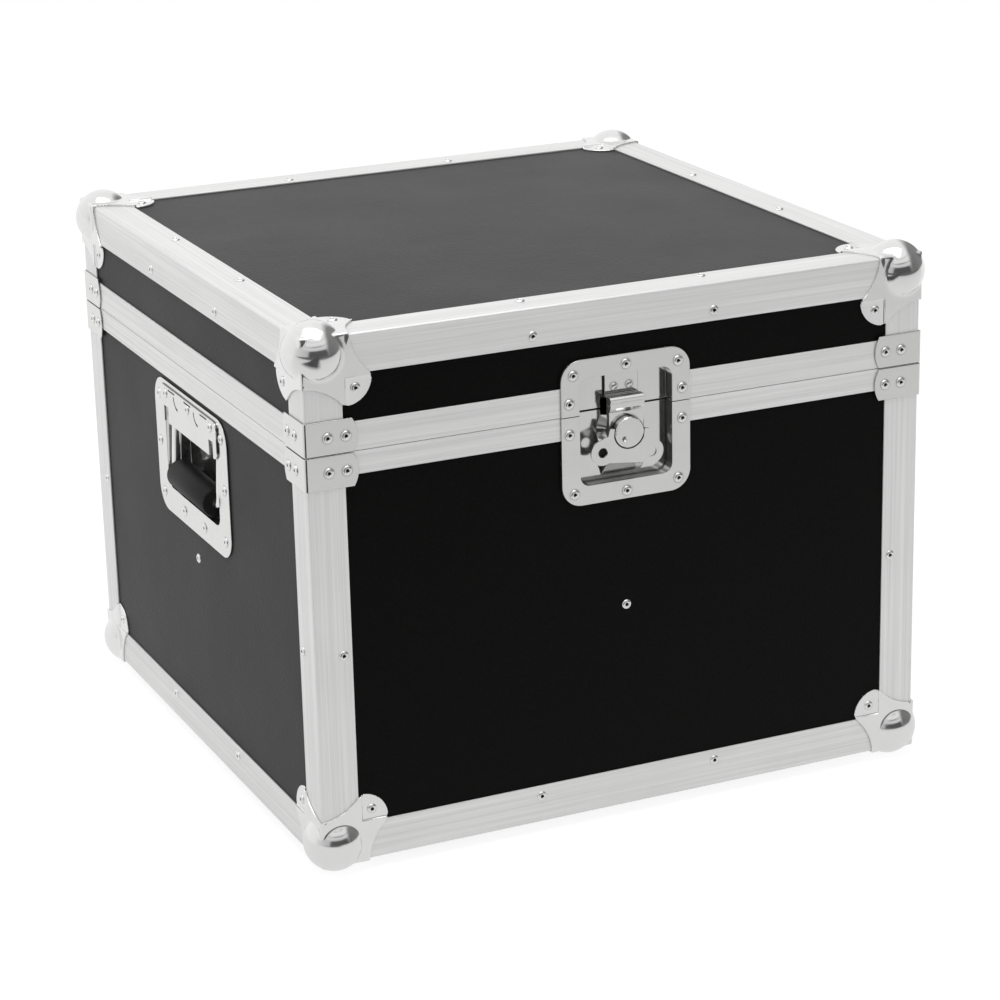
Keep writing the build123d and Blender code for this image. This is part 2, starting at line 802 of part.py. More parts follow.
def handle_spring():
    """A torsion coil round the axle, between the saddles."""
    radius = bail_radius + spring_gap + spring_wire / 2
    wire = RegularPolygon(spring_wire / 2, 4)
    stations = []
    for i in range(spring_turns * spring_sides + 1):
        place = Rot(0, 0, 360 * i / spring_sides) * Pos(radius, 0, spring_pitch * i / spring_sides)
        stations.append(place * Rot(quarter, 0, 0) * wire)
    coil = loft(stations, ruled=True)
    coil = Rot(0, 90, 0) * Pos(0, 0, -spring_turns * spring_pitch / 2) * coil
    return Pos(0, -bail_pivot_drop, -bail_pivot_in) * coil


def make_handles():
    makers = {
        "handle_dish": handle_dish, "handle_cover": handle_cover,
        "handle_bail": handle_bail, "handle_grip": handle_grip,
    }
    for name, maker in makers.items():
        left = placed(side_plane("left"), 0, parting, -angle_wall, maker())
        save(name + "_left", left)
        save(name + "_right", mirror(left, about=Plane.YZ))
    spring = placed(side_plane("left"), 0, parting, -angle_wall, handle_spring())
    save("handle_springs", spring, mirror(spring, about=Plane.YZ))


# Hinges

def hinge_leaf_plate(up):
    """One leaf on the back plane, cut back beside the other leaf's knuckles."""
    half = hinge_width / 2
    leaf = span(-half, half, 0, hinge_leaf, 0, hinge_reach)
    clear = hinge_knuckle + fit_gap
    low = parting_gap / 2 + fit_gap
    edge = half - hinge_middle / 2
    if up:
        for sx in (-1, 1):
            x = sx * (hinge_middle / 2 + edge / 2)
            leaf -= Pos(x, 0, 0) * Box(edge + 2 * hinge_gap, big, 2 * clear)
    else:
        leaf -= Box(hinge_middle + 2 * hinge_gap, big, 2 * clear)
    leaf -= Box(big, big, 2 * low)
    return leaf


def knuckle(length):
    """A rolled knuckle with the tongue of sheet that joins it to its leaf."""
    roll = Rot(0, 90, 0) * Pos(0, 0, -length / 2) * upright(hinge_knuckle, length)
    roll = Pos(0, hinge_out, 0) * roll
    neck = span(-length / 2, length / 2, 0, hinge_out, parting_gap / 2 + fit_gap, hinge_knuckle)
    bore = Rot(0, 90, 0) * Cylinder(hinge_pin_radius + running_gap, big)
    return roll + neck - Pos(0, hinge_out, 0) * bore


def hinge_heel_nib():
    """A nib on the lid's knuckle that meets the base leaf when the lid is fully open."""
    face = hinge_out - hinge_leaf - fit_gap / 2
    turn = 90 - lid_angle
    nib = span(-hinge_middle / 2, hinge_middle / 2, hinge_knuckle / 2, hinge_heel, -face, -face + hinge_heel_sheet)
    nib -= Rot(0, 90, 0) * Cylinder(hinge_pin_radius + running_gap, big)
    return Pos(0, hinge_out, 0) * Rot(-turn, 0, 0) * nib


def hinge(up):
    """The lid half (up) or the base half of one hinge, at x = 0 on the back plane."""
    leaf = hinge_leaf_plate(up)
    if up:
        leaf += knuckle(hinge_middle)
        leaf += hinge_heel_nib()
        leaf -= Pos(0, hinge_out, 0) * Rot(0, 90, 0) * Cylinder(hinge_pin_radius + running_gap, big)
        return leaf
    short = (hinge_width - hinge_middle) / 2 - hinge_gap
    place = hinge_middle / 2 + hinge_gap + short / 2
    for sx in (-1, 1):
        leaf += Pos(sx * place, 0, 0) * knuckle(short)
    return mirror(leaf, about=Plane.XY)


def make_hinges():
    places = (-hinge_place, hinge_place)
    base = [Pos(x, half_depth, parting) * hinge(False) for x in places]
    lid = [Pos(x, half_depth, parting) * hinge(True) for x in places]
    pin = Rot(0, 90, 0) * Pos(0, 0, -hinge_width / 2) * upright(hinge_pin_radius, hinge_width)
    pins = [Pos(x, half_depth + hinge_out, parting) * pin for x in places]
    save("hinge_base_leaves", *base)
    save("hinge_lid_leaves", *lid)
    save("hinge_pins", *pins)


# Inside

def make_inside():
    height = parting - divider_drop
    foot = floor_top
    middle = (foot + height) / 2
    slot = divider / 2 + divider_gap
    end_x = inner_x - divider_gap
    end_y = inner_y - divider_gap
    dish_in = handle_depth + dish_sheet - board + divider_gap
    dish_foot = parting - handle_mouth_bottom - dish_sheet - 2 * divider_gap
    long_board = span(-end_x, end_x, -divider / 2, divider / 2, foot, height)
    long_board -= span(-slot, slot, -big, big, middle - divider_gap, big)
    for sx in (-1, 1):
        long_board -= Pos(sx * (inner_x + big / 2 - dish_in), 0, dish_foot + big / 2) * Box(big, big, big)
    cross_board = span(-divider / 2, divider / 2, -end_y, end_y, foot, height)
    cross_board -= span(-big, big, -slot, slot, -big, middle + divider_gap)
    save("divider_long", long_board)
    save("divider_cross", cross_board)
    make_brackets()
    make_pads(end_x, end_y)


def make_brackets():
    """Four angles that tie the divider ends to the walls behind the middle rivets."""
    z0 = parting - wall_rivet_drop - bracket_length / 2
    section = [(0, 0), (bracket_leg, 0), (bracket_leg, bracket_wall), (bracket_wall, bracket_wall),
               (bracket_wall, bracket_leg), (0, bracket_leg)]
    angle = Pos(0, 0, z0) * raised(make_face(Polyline(*section, close=True)), bracket_length)
    front = Pos(divider / 2, -inner_y, 0) * angle
    left = Pos(-inner_x, divider / 2, 0) * angle
    save("divider_brackets", front, front.rotate(Axis.Z, 180), left, left.rotate(Axis.Z, 180))


def make_pads(end_x, end_y):
    """Foam on the floor of each compartment and under the roof; plain closed pads."""
    x0 = divider / 2 + pad_gap
    pad = span(x0, end_x - pad_gap, x0, end_y - pad_gap, floor_top + fit_gap, floor_top + floor_pad)
    left = mirror(pad, about=Plane.YZ)
    save("floor_pads", pad, left, mirror(pad, about=Plane.XZ), mirror(left, about=Plane.XZ))
    save("lid_pad", span(-end_x + pad_gap, end_x - pad_gap, -end_y + pad_gap, end_y - pad_gap,
                         roof_under - lid_pad, roof_under - fit_gap))


# Rivets

def rivet_head(radius=rivet_radius, height=rivet_height):
    """A low-sided head: a small flat crown on a sloping skirt."""
    return extrude(RegularPolygon(radius, rivet_sides), height, taper=rivet_taper)


def rivets_on(plane, out, places):
    head = rivet_head()
    return [placed(plane, x, y, out, head) for x, y in places]


def edge_rivets(height, direction):
    """Rivets of the angles along the top or the bottom edges."""
    heads = []
    pitch = rivet_pitch / 2
    for side in ("front", "back", "left", "right"):
        row = height - direction * rivet_row
        heads += rivets_on(side_plane(side), 0, [(-pitch, row), (pitch, row)])
    x = half_width - rivet_row
    y = half_depth - rivet_row
    places = [(-x, -pitch), (-x, pitch), (x, -pitch), (x, pitch)]
    places += [(-pitch, -y), (pitch, -y), (-pitch, y), (pitch, y)]
    return heads + rivets_on(face_plane(height, direction), 0, places)


def side_reach(side):
    return half_width if side in ("front", "back") else half_depth


def upright_rivets():
    """One rivet on each face of the upright angles, and one in the middle of each wall."""
    heads = []
    for side in ("front", "back", "left", "right"):
        x = side_reach(side) - post_rivet_row
        z = parting - post_rivet_drop
        heads += rivets_on(side_plane(side), 0, [(-x, z), (x, z)])
        heads += rivets_on(side_plane(side), -angle_wall, [(0, parting - wall_rivet_drop)])
    return heads


def brace_heads(z):
    heads = []
    for side in ("front", "back", "left", "right"):
        reach = side_reach(side)
        places = [(sx * (reach - inset), z) for sx in (-1, 1) for inset in brace_rivets]
        heads += rivets_on(side_plane(side), brace_sheet, places)
    return heads


def ear_rivets(height, direction):
    """The rivets through the ears of the ball corners on all three faces."""
    out = corner_sheet - angle_wall
    heads = []
    for side in ("front", "back", "left", "right"):
        reach = side_reach(side) - corner_rivet
        row = height - direction * corner_rivet
        heads += rivets_on(side_plane(side), out, [(-reach, row), (reach, row)])
    x = half_width - corner_rivet
    y = half_depth - corner_rivet
    places = [(-x, -y), (x, -y), (-x, y), (x, y)]
    return heads + rivets_on(face_plane(height, direction), out, places)


def latch_rivets():
    """Rivets of the latch flange, upper half and lower half."""
    column = latch_rivet_column
    corner = latch_rivet_corner
    top, shoulder, above, below, hip, foot = [parting + row for row in latch_rivet_rows]
    upper = [(-column, above), (column, above), (-corner, shoulder), (0, top), (corner, shoulder)]
    lower = [(-column, below), (column, below), (-corner, hip), (0, foot), (corner, hip)]
    return [rivets_on(side_plane("front"), flange, places) for places in (upper, lower)]


def handle_rivets():
    """Rivets of one handle, on the flange and through the raised cover."""
    top, middle, low, foot = [parting - row for row in handle_rivet_rows]
    places = []
    for sx in (-1, 1):
        corner = sx * handle_rivet_corner
        places += [(corner, top), (sx * handle_rivet_column, middle), (corner, low), (sx * handle_rivet_foot, foot)]
    cover = [(x, parting - cover_rivet_row) for x in (-cover_rivet_column, 0, cover_rivet_column)]
    out = flange - angle_wall
    return rivets_on(side_plane("left"), out, places) + rivets_on(side_plane("left"), out + cover_sheet, cover)


def hinge_rivets(direction):
    heads = []
    plane = side_plane("back")
    for place in (-hinge_place, hinge_place):
        for x in (-hinge_rivet_column, hinge_rivet_column):
            near = (place + x, parting + direction * hinge_rivet_near)
            far = (place + x, parting + direction * hinge_rivet_far)
            heads += rivets_on(plane, hinge_leaf, [near, far])
    return heads


def keeper_rivets():
    dome = rivet_head(keeper_rivet_radius, keeper_rivet_dome)
    x = keeper_rivet_pitch / 2
    out = keeper_plate - latch_depth
    return [at_latch(sx * x, keeper_rivet_height, out, dome) for sx in (-1, 1)]


def make_rivets():
    upper, lower = latch_rivets()
    left = handle_rivets()
    handles = left + [mirror(head, about=Plane.YZ) for head in left]
    brace_middle = fit_gap + brace_height / 2
    frame = edge_rivets(frame_bottom, -1) + upright_rivets() + brace_heads(base_top - brace_middle)
    save("frame_rivets_base", *frame, *ear_rivets(frame_bottom, -1))
    save("fitting_rivets_base", *lower, *handles, *hinge_rivets(-1))
    frame = edge_rivets(frame_top, 1) + brace_heads(lid_bottom + brace_middle)
    save("rivets_lid", *frame, *ear_rivets(frame_top, 1), *upper, *keeper_rivets(), *hinge_rivets(1))


make_boards()
make_angles()
make_rims()
make_ball_corners()
make_braces()
make_latch()
make_handles()
make_hinges()
make_inside()
make_rivets()
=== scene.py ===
import json
from math import radians

import bmesh
import bpy
from bpy.props import FloatProperty, FloatVectorProperty, PointerProperty
from mathutils import Matrix, Vector

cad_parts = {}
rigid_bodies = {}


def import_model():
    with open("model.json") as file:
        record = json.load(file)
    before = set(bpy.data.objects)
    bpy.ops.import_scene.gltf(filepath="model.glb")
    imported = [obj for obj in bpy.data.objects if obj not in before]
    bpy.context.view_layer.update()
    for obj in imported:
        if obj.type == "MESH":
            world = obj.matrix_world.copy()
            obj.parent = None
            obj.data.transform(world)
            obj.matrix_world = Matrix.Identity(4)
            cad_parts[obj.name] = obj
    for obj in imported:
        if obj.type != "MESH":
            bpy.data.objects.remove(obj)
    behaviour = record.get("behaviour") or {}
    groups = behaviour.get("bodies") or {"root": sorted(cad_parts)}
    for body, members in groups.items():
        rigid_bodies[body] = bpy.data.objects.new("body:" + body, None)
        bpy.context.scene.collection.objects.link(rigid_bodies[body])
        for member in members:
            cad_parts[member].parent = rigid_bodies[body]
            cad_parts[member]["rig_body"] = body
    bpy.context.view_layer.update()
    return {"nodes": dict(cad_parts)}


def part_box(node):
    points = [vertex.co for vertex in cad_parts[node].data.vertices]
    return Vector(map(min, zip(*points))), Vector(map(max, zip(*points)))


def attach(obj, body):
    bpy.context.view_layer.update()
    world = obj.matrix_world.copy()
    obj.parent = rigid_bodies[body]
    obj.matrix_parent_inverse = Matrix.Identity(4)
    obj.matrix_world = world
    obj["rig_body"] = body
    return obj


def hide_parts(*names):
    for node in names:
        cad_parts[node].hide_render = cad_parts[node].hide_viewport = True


bl_info = {
    "name": "Par can flight case",
    "version": (1, 0, 0),
    "blender": (4, 5, 0),
    "location": "View3D > Sidebar > Flight case",
    "description": "Dresses a flight case: laminate, drawn aluminium, plated fittings, rivets, grips and foam",
    "category": "Object",
}

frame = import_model()
nodes = frame["nodes"]

MM = 0.001
SIDES = ("front", "back", "left", "right")
ENDS = ("left", "right")
RAILS_X = tuple(head + side for head in ("bottom_angle_", "top_angle_", "base_rim_", "lid_rim_")
                for side in ("front", "back"))
RAILS_Y = tuple(head + side for head in ("bottom_angle_", "top_angle_", "base_rim_", "lid_rim_")
                for side in ENDS)
POSTS = ("base_corner_posts", "lid_corner_posts")
BOARDS = tuple(part + side + "_panel" for part in ("base_", "lid_") for side in SIDES)
BOARDS += ("base_floor_panel", "lid_top_panel")
RIVET_NODES = {"frame_rivets_base": "base", "fitting_rivets_base": "base", "rivets_lid": "lid"}

MERGE = 0.002 * MM
TOUCH = 0.05 * MM
EDGE_ANGLE = 32
BALL_INSET = 14.4 * MM
CORNER_SHEET = 1.5 * MM
FLANGE_DEPTH = 2 * MM
# The punched dimple of the drum: how far from its middle, behind its face, and the form of the cone
DIMPLE_SIDE = 4.6 * MM
DIMPLE_RIM = 0.8 * MM
DIMPLE_REACH = 2.3 * MM
DIMPLE_DEPTH = 0.9 * MM
DIMPLE_TIP = 0.25
DRUM_EDGE = 0.25 * MM
# The handle's cover: room beside the bail's arms, the tools' reach and the straight slits along its top
NOTCH_GAP = 0.8 * MM
TOOL_REACH = 10 * MM
RING_REACH = 4 * MM
TOP_SLIT_PLACES = (-38 * MM, 0, 38 * MM)
TOP_SLIT_HALF = 8 * MM
TOP_SLIT_LOW = 2.6 * MM
TOP_SLIT_HIGH = 1.5 * MM
SADDLE_CUT = 0.02 * MM
# Rivets with a wider foot than this are blind rivets, the others the keeper's domed ones
BLIND_WIDTH = 3.4 * MM
# How far the painted shade of the plated materials reaches from where faces meet
PAINTED_SHADE_REACH = 2.2 * MM

# Lamps: name, place, target, width, height, power and whether reflections show them
LAMPS = (
    ("overhead", (-0.2, -0.3, 2.6), (0, 0, 0.3), 2.2, 1.6, 26, True),
    ("left_wall", (-2.6, 0.6, 1.3), (0, 0, 0.25), 1.8, 1.8, 15, False),
    ("front_wall", (1.2, -2.9, 1.5), (0, 0, 0.25), 1.6, 1.2, 22, False),
)
FLOOR_SIZE = 30
PAPER = (0.8, 0.8, 0.8, 1)
WHITE = (1, 1, 1, 1)
WHITE_STRENGTH = 1.25
WHITE_SHARE = 0.65
ROOM_STRENGTH = 0.62

# Tones of the room in reflections, as (place, tone): the floor from front to back, a dark patch at its front left
# and where that patch counts, the walls from front to back, the duller right side and the ceiling upwards
FLOOR_TONES = ((-4, 0.05), (-2.3, 0.08), (-1.7, 0.65), (-0.27, 0.8), (0.1, 0.92), (1, 0.95))
FLOOR_SHADES = ((-2, 1.0), (-1.2, 0.95), (-0.95, 0.02), (-0.3, 0.02), (-0.12, 1.0), (1, 1.0))
FLOOR_FRONT = ((-4, 1.0), (-0.8, 1.0), (-0.55, 0.0), (1, 0.0))
WALL_TONES = ((-1, 0.02), (-0.85, 0.02), (-0.75, 0.5), (-0.2, 0.7), (0.05, 0.88), (1, 1.0))
SIDE_SHADES = ((-1, 1.0), (0.5, 1.0), (0.68, 0.2), (1, 0.2))
CEILING_TONES = ((0, 0.0), (0.3, 0.02), (0.36, 0.6), (0.5, 0.75), (0.52, 0.15), (0.56, 0.15), (0.58, 0.8),
                 (0.75, 0.85), (0.77, 0.3), (0.8, 0.9), (1, 0.95))


# Sizes and colours a user would change

class FinishSettings(bpy.types.PropertyGroup):
    laminate: FloatVectorProperty(name="Laminate", description="Film on the boards", subtype="COLOR",
                                  size=4, min=0, max=1, default=(0.0003, 0.0003, 0.0002, 1))
    laminate_fleck: FloatVectorProperty(name="Laminate fleck", description="Paler grain of the film", subtype="COLOR",
                                        size=4, min=0, max=1, default=(0.0016, 0.0016, 0.0013, 1))
    aluminium: FloatVectorProperty(name="Aluminium", description="Anodised extrusions", subtype="COLOR",
                                   size=4, min=0, max=1, default=(0.83, 0.83, 0.825, 1))
    aluminium_line: FloatVectorProperty(name="Drawn lines", description="Darker lines along the extrusions",
                                        subtype="COLOR", size=4, min=0, max=1, default=(0.66, 0.66, 0.655, 1))
    zinc: FloatVectorProperty(name="Zinc plate", description="Braces, dishes, hinges and latch", subtype="COLOR",
                              size=4, min=0, max=1, default=(0.80, 0.80, 0.79, 1))
    zinc_shade: FloatVectorProperty(name="Zinc shade", description="Duller patches of the plating", subtype="COLOR",
                                    size=4, min=0, max=1, default=(0.68, 0.68, 0.67, 1))
    ball: FloatVectorProperty(name="Ball corner", description="Bright plated pressings", subtype="COLOR",
                              size=4, min=0, max=1, default=(0.86, 0.86, 0.855, 1))
    rubber: FloatVectorProperty(name="Rubber", description="Grip sleeves", subtype="COLOR",
                                size=4, min=0, max=1, default=(0.006, 0.006, 0.006, 1))
    foam: FloatVectorProperty(name="Foam", description="Floor and lid pads", subtype="COLOR",
                              size=4, min=0, max=1, default=(0.022, 0.022, 0.024, 1))
    ply: FloatVectorProperty(name="Plywood", description="Face of the dividers", subtype="COLOR",
                             size=4, min=0, max=1, default=(0.55, 0.38, 0.21, 1))
    ply_vein: FloatVectorProperty(name="Plywood vein", description="Darker grain of the dividers", subtype="COLOR",
                                  size=4, min=0, max=1, default=(0.36, 0.22, 0.11, 1))


class SizeSettings(bpy.types.PropertyGroup):
    rivet_hole: FloatProperty(name="Rivet hole", description="Radius of the hole in a rivet head", subtype="DISTANCE",
                              unit="LENGTH", default=1.3 * MM, min=0.5 * MM, max=2 * MM)
    profile_edge: FloatProperty(name="Profile edge", description="Rounding of the extrusions' edges",
                                subtype="DISTANCE", unit="LENGTH", default=0.45 * MM, min=0.05 * MM, max=0.7 * MM)
    sheet_edge: FloatProperty(name="Sheet edge", description="Rounding of pressed sheet edges", subtype="DISTANCE",
                              unit="LENGTH", default=0.4 * MM, min=0.05 * MM, max=0.7 * MM)
    ball_blend: FloatProperty(name="Ball blend", description="How far the ball's foot runs out into the sheet",
                              subtype="DISTANCE", unit="LENGTH", default=5.0 * MM, min=1 * MM, max=8 * MM)
    ball_radius: FloatProperty(name="Ball radius", description="Radius of the ball", subtype="DISTANCE",
                               unit="LENGTH", default=23.4 * MM, min=15 * MM, max=30 * MM)
    ball_voxel: FloatProperty(name="Ball grid", description="Grid of the pressed corner's surface",
                              subtype="DISTANCE", unit="LENGTH", default=0.55 * MM, min=0.3 * MM, max=2 * MM)
    ball_share: FloatProperty(name="Ball faces", description="Share of the grid's faces that is kept",
                              subtype="FACTOR", default=0.3, min=0.05, max=1)
    bail_radius: FloatProperty(name="Bail radius", description="Half the bail rod's thickness", subtype="DISTANCE",
                               unit="LENGTH", default=4.0 * MM, min=2 * MM, max=6 * MM)
    bail_bend: FloatProperty(name="Bail bend", description="Radius of the bail's bends", subtype="DISTANCE",
                             unit="LENGTH", default=9.0 * MM, min=5 * MM, max=20 * MM)
    bail_lean: FloatProperty(name="Bail lean", description="How far the bail stands off its dish at rest",
                             subtype="ANGLE", unit="ROTATION", default=radians(3.3), min=0, max=radians(8))
    cover_sheet: FloatProperty(name="Cover sheet", description="Thickness of the plate over a handle's axle",
                               subtype="DISTANCE", unit="LENGTH", default=1.5 * MM, min=1 * MM, max=2 * MM)
    cover_drop: FloatProperty(name="Cover drop", description="From the dish's top edge to the cover's",
                              subtype="DISTANCE", unit="LENGTH", default=3.5 * MM, min=2 * MM, max=6 * MM)
    cover_below: FloatProperty(name="Cover below", description="How far the cover reaches below the axle",
                               subtype="DISTANCE", unit="LENGTH", default=8.2 * MM, min=5 * MM, max=12 * MM)
    cover_corner: FloatProperty(name="Cover corner", description="Corner radius of the cover",
                                subtype="DISTANCE", unit="LENGTH", default=6.0 * MM, min=2 * MM, max=10 * MM)
    slit_radius: FloatProperty(name="Slit radius", description="Radius of the curved slits in the cover",
                               subtype="DISTANCE", unit="LENGTH", default=9.0 * MM, min=4 * MM, max=12 * MM)
    slit_width: FloatProperty(name="Slit width", description="Width of the curved slits", subtype="DISTANCE",
                              unit="LENGTH", default=1.8 * MM, min=0.5 * MM, max=3 * MM)
    slit_drop: FloatProperty(name="Slit drop", description="From the cover's top edge to the slits' centre",
                             subtype="DISTANCE", unit="LENGTH", default=4.5 * MM, min=2 * MM, max=20 * MM)
    slit_places: FloatVectorProperty(name="Slit places", description="Along the cover, from its middle", size=2,
                                     subtype="NONE", unit="LENGTH", default=(-24.0 * MM, 24.0 * MM))
    grip_edge: FloatProperty(name="Grip edge", description="Rounding of the grip's ends", subtype="DISTANCE",
                             unit="LENGTH", default=2.0 * MM, min=0.5 * MM, max=4 * MM)
    drum_radius: FloatProperty(name="Drum radius", description="Radius of the latch's turning boss",
                               subtype="DISTANCE", unit="LENGTH", default=12.0 * MM, min=8 * MM, max=16 * MM)
    dish_slit: FloatProperty(name="Dish slit", description="Extra opening between the halves of the latch dish",
                             subtype="DISTANCE", unit="LENGTH", default=0.4 * MM, min=0, max=1 * MM)
    foam_edge: FloatProperty(name="Foam edge", description="Rounding of the pads' cut edges", subtype="DISTANCE",
                             unit="LENGTH", default=2.5 * MM, min=0.5 * MM, max=4 * MM)


class StudioSettings(bpy.types.PropertyGroup):
    azimuth: FloatProperty(name="Azimuth", description="Camera's turn round the case", default=-24.28)
    elevation: FloatProperty(name="Elevation", description="Camera's height above the horizon", default=18.47)
    roll: FloatProperty(name="Roll", description="Camera's turn about its own axis", default=-1.39)
    lens: FloatProperty(name="Lens", description="Focal length in millimetres", default=110.08)
    place: FloatVectorProperty(name="Camera place", description="Camera in the case's frame", subtype="XYZ",
                               unit="LENGTH", default=(-0.98375, -2.20674, 0.98876))


# Working with objects

def only(obj):
    """Select this object alone and make it active."""
    if bpy.context.object and bpy.context.object.mode != "OBJECT":
        bpy.ops.object.mode_set(mode="OBJECT")
    bpy.ops.object.select_all(action="DESELECT")
    obj.select_set(True)
    bpy.context.view_layer.objects.active = obj


def named(obj, name):
    obj.name = name
    obj.data.name = name
    return obj


def apply_all(obj):
    only(obj)
    bpy.ops.object.transform_apply(location=True, rotation=True, scale=True)


def add_modifier(obj, kind, **values):
    """Add a modifier, set its values and apply it."""
    only(obj)
    modifier = obj.modifiers.new(kind.title(), kind)
    for key, value in values.items():
        setattr(modifier, key, value)
    bpy.ops.object.modifier_apply(modifier=modifier.name)


def smooth(obj, angle):
    only(obj)
    bpy.ops.object.shade_smooth_by_angle(angle=radians(angle))


def joined(parts, name):
    """Join several objects into one piece."""
    only(parts[0])
    for part in parts:
        part.select_set(True)
    if len(parts) > 1:
        bpy.ops.object.join()
    return named(bpy.context.object, name)


def dressed(obj, body, slot, material, *replaced):
    """Give a finished piece its material and its body, and hide the CAD nodes it stands for."""
    if not obj.data.materials:
        obj.data.materials.append(material)
    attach(obj, body)
    if replaced:
        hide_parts(*replaced)
    return obj


def body_of(node):
    return nodes[node]["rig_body"]


def edit_all(piece):
    """Open a piece for editing with all of it selected."""
    only(piece)
    bpy.ops.object.mode_set(mode="EDIT")
    bpy.ops.mesh.select_all(action="SELECT")


def end_edit():
    bpy.ops.object.mode_set(mode="OBJECT")


def keep_behind(place, out):
    """Cut the open piece at a plane and keep what lies behind it."""
    bpy.ops.mesh.select_all(action="SELECT")
    bpy.ops.mesh.bisect(plane_co=place, plane_no=out, clear_outer=True)


def object_of(mesh, name):
    """A new object with its own copy of a mesh."""
    made = bpy.data.objects.new(name, mesh.copy())
    bpy.context.scene.collection.objects.link(made)
    return made


def copy_of(node, name):
    """A merged copy of a CAD piece with its flat faces whole again."""
    piece = object_of(nodes[node].data, name)
    piece.data.name = name
    piece.data.materials.clear()
    edit_all(piece)
    bpy.ops.mesh.remove_doubles(threshold=MERGE)
    bpy.ops.mesh.dissolve_limited(angle_limit=radians(0.4), delimit={"NORMAL"})
    end_edit()
    return piece


def round_edges(piece, width, segments=2):
    """Round a piece's sharp edges and keep its flat faces flat in the shading."""
    add_modifier(piece, "BEVEL", width=width, segments=segments, limit_method="ANGLE",
                 angle_limit=radians(EDGE_ANGLE))
    smooth(piece, 40)
    add_modifier(piece, "WEIGHTED_NORMAL", mode="FACE_AREA", weight=100, keep_sharp=True)


def softened(node, name, width, segments=2):
    """A copy of a CAD piece with its sharp edges rounded over."""
    piece = copy_of(node, name)
    round_edges(piece, width, segments)
    return piece


def islands(mesh):
    """The separate solids of a CAD node, each as a list of its corners."""
    work = bmesh.new()
    work.from_mesh(mesh)
    bmesh.ops.remove_doubles(work, verts=work.verts, dist=MERGE)
    left = set(work.verts)
    found = []
    while left:
        queue = [left.pop()]
        group = []
        while queue:
            vert = queue.pop()
            group.append(vert.co.copy())
            for edge in vert.link_edges:
                other = edge.other_vert(vert)
                if other in left:
                    left.remove(other)
                    queue.append(other)
        found.append(group)
    work.free()
    return found


def box_of(points):
    """The low and the high corner of the box round some points."""
    return tuple(Vector([pick(point[i] for point in points) for i in range(3)]) for pick in (min, max))


def block(low, high):
    """A box between two corners."""
    low, high = Vector(low), Vector(high)
    bpy.ops.object.select_all(action="DESELECT")
    bpy.ops.mesh.primitive_cube_add(size=1, location=(low + high) / 2, scale=high - low)
    made = bpy.context.object
    apply_all(made)
    return made


def cut(piece, tool):
    """Take a tool's form out of a piece."""
    add_modifier(piece, "BOOLEAN", operation="DIFFERENCE", object=tool, solver="EXACT")
    bpy.data.objects.remove(tool)


def turned(name, rings, sides=24):
    """A round piece about Z from rings of (radius, height), closed at both ends."""
    radius, height = rings[0]
    bpy.ops.object.select_all(action="DESELECT")
    bpy.ops.mesh.primitive_circle_add(vertices=sides, radius=radius, fill_type="NGON", location=(0, 0, height))
    piece = named(bpy.context.object, name)
    edit_all(piece)
    for next_radius, next_height in rings[1:]:
        bpy.ops.mesh.extrude_region_move(TRANSFORM_OT_translate={"value": (0, 0, next_height - height)})
        share = next_radius / radius
        bpy.ops.transform.resize(value=(share, share, 1), center_override=(0, 0, next_height))
        radius, height = next_radius, next_height
    bpy.ops.mesh.select_all(action="SELECT")
    bpy.ops.mesh.normals_make_consistent(inside=False)
    end_edit()
    apply_all(piece)
    smooth(piece, 35)
    return piece


# Shader nodes

def plug(tree, value, socket):
    """Link an output to a socket, or give the socket a constant."""
    if isinstance(value, bpy.types.NodeSocket):
        tree.links.new(value, socket)
    else:
        socket.default_value = value


def add_node(tree, kind, sockets=(), **settings):
    """Add a node, set it, fill its sockets and return its outputs."""
    node = tree.nodes.new(kind)
    for key, value in settings.items():
        setattr(node, key, value)
    for label, value in dict(sockets).items():
        plug(tree, value, node.inputs[label])
    return node.outputs


def noise(tree, place, scale, detail, roughness=0.5):
    sockets = {"Vector": place, "Scale": scale, "Detail": detail, "Roughness": roughness}
    return add_node(tree, "ShaderNodeTexNoise", sockets)["Fac"]


def spread(tree, value, low, high, start=0.0, end=1.0):
    """Stretch the range of a value from low and high to start and end."""
    sockets = {"Value": value, "From Min": low, "From Max": high, "To Min": start, "To Max": end}
    return add_node(tree, "ShaderNodeMapRange", sockets)["Result"]


def maths(tree, operation, *values):
    return add_node(tree, "ShaderNodeMath", enumerate(values), operation=operation)["Value"]


def mixed(tree, factor, first, second, blend="MIX"):
    """Two colours mixed or blended."""
    sockets = {"Factor": factor, "A": first, "B": second}
    return add_node(tree, "ShaderNodeMix", sockets, data_type="RGBA", blend_type=blend)["Result"]


def mixed_shaders(tree, factor, first, second):
    return add_node(tree, "ShaderNodeMixShader", {"Fac": factor, 1: first, 2: second})["Shader"]


# Shader groups

def new_group(name, inputs, outputs):
    """An empty shader group, the sockets it reads and the sockets it puts out."""
    group = bpy.data.node_groups.new(name, "ShaderNodeTree")
    for label, kind, default in inputs:
        socket = group.interface.new_socket(label, in_out="INPUT", socket_type=kind)
        socket.default_value = default
    for label in outputs:
        group.interface.new_socket(label, in_out="OUTPUT", socket_type="NodeSocketFloat")
    return group, group.nodes.new("NodeGroupInput").outputs, group.nodes.new("NodeGroupOutput").inputs


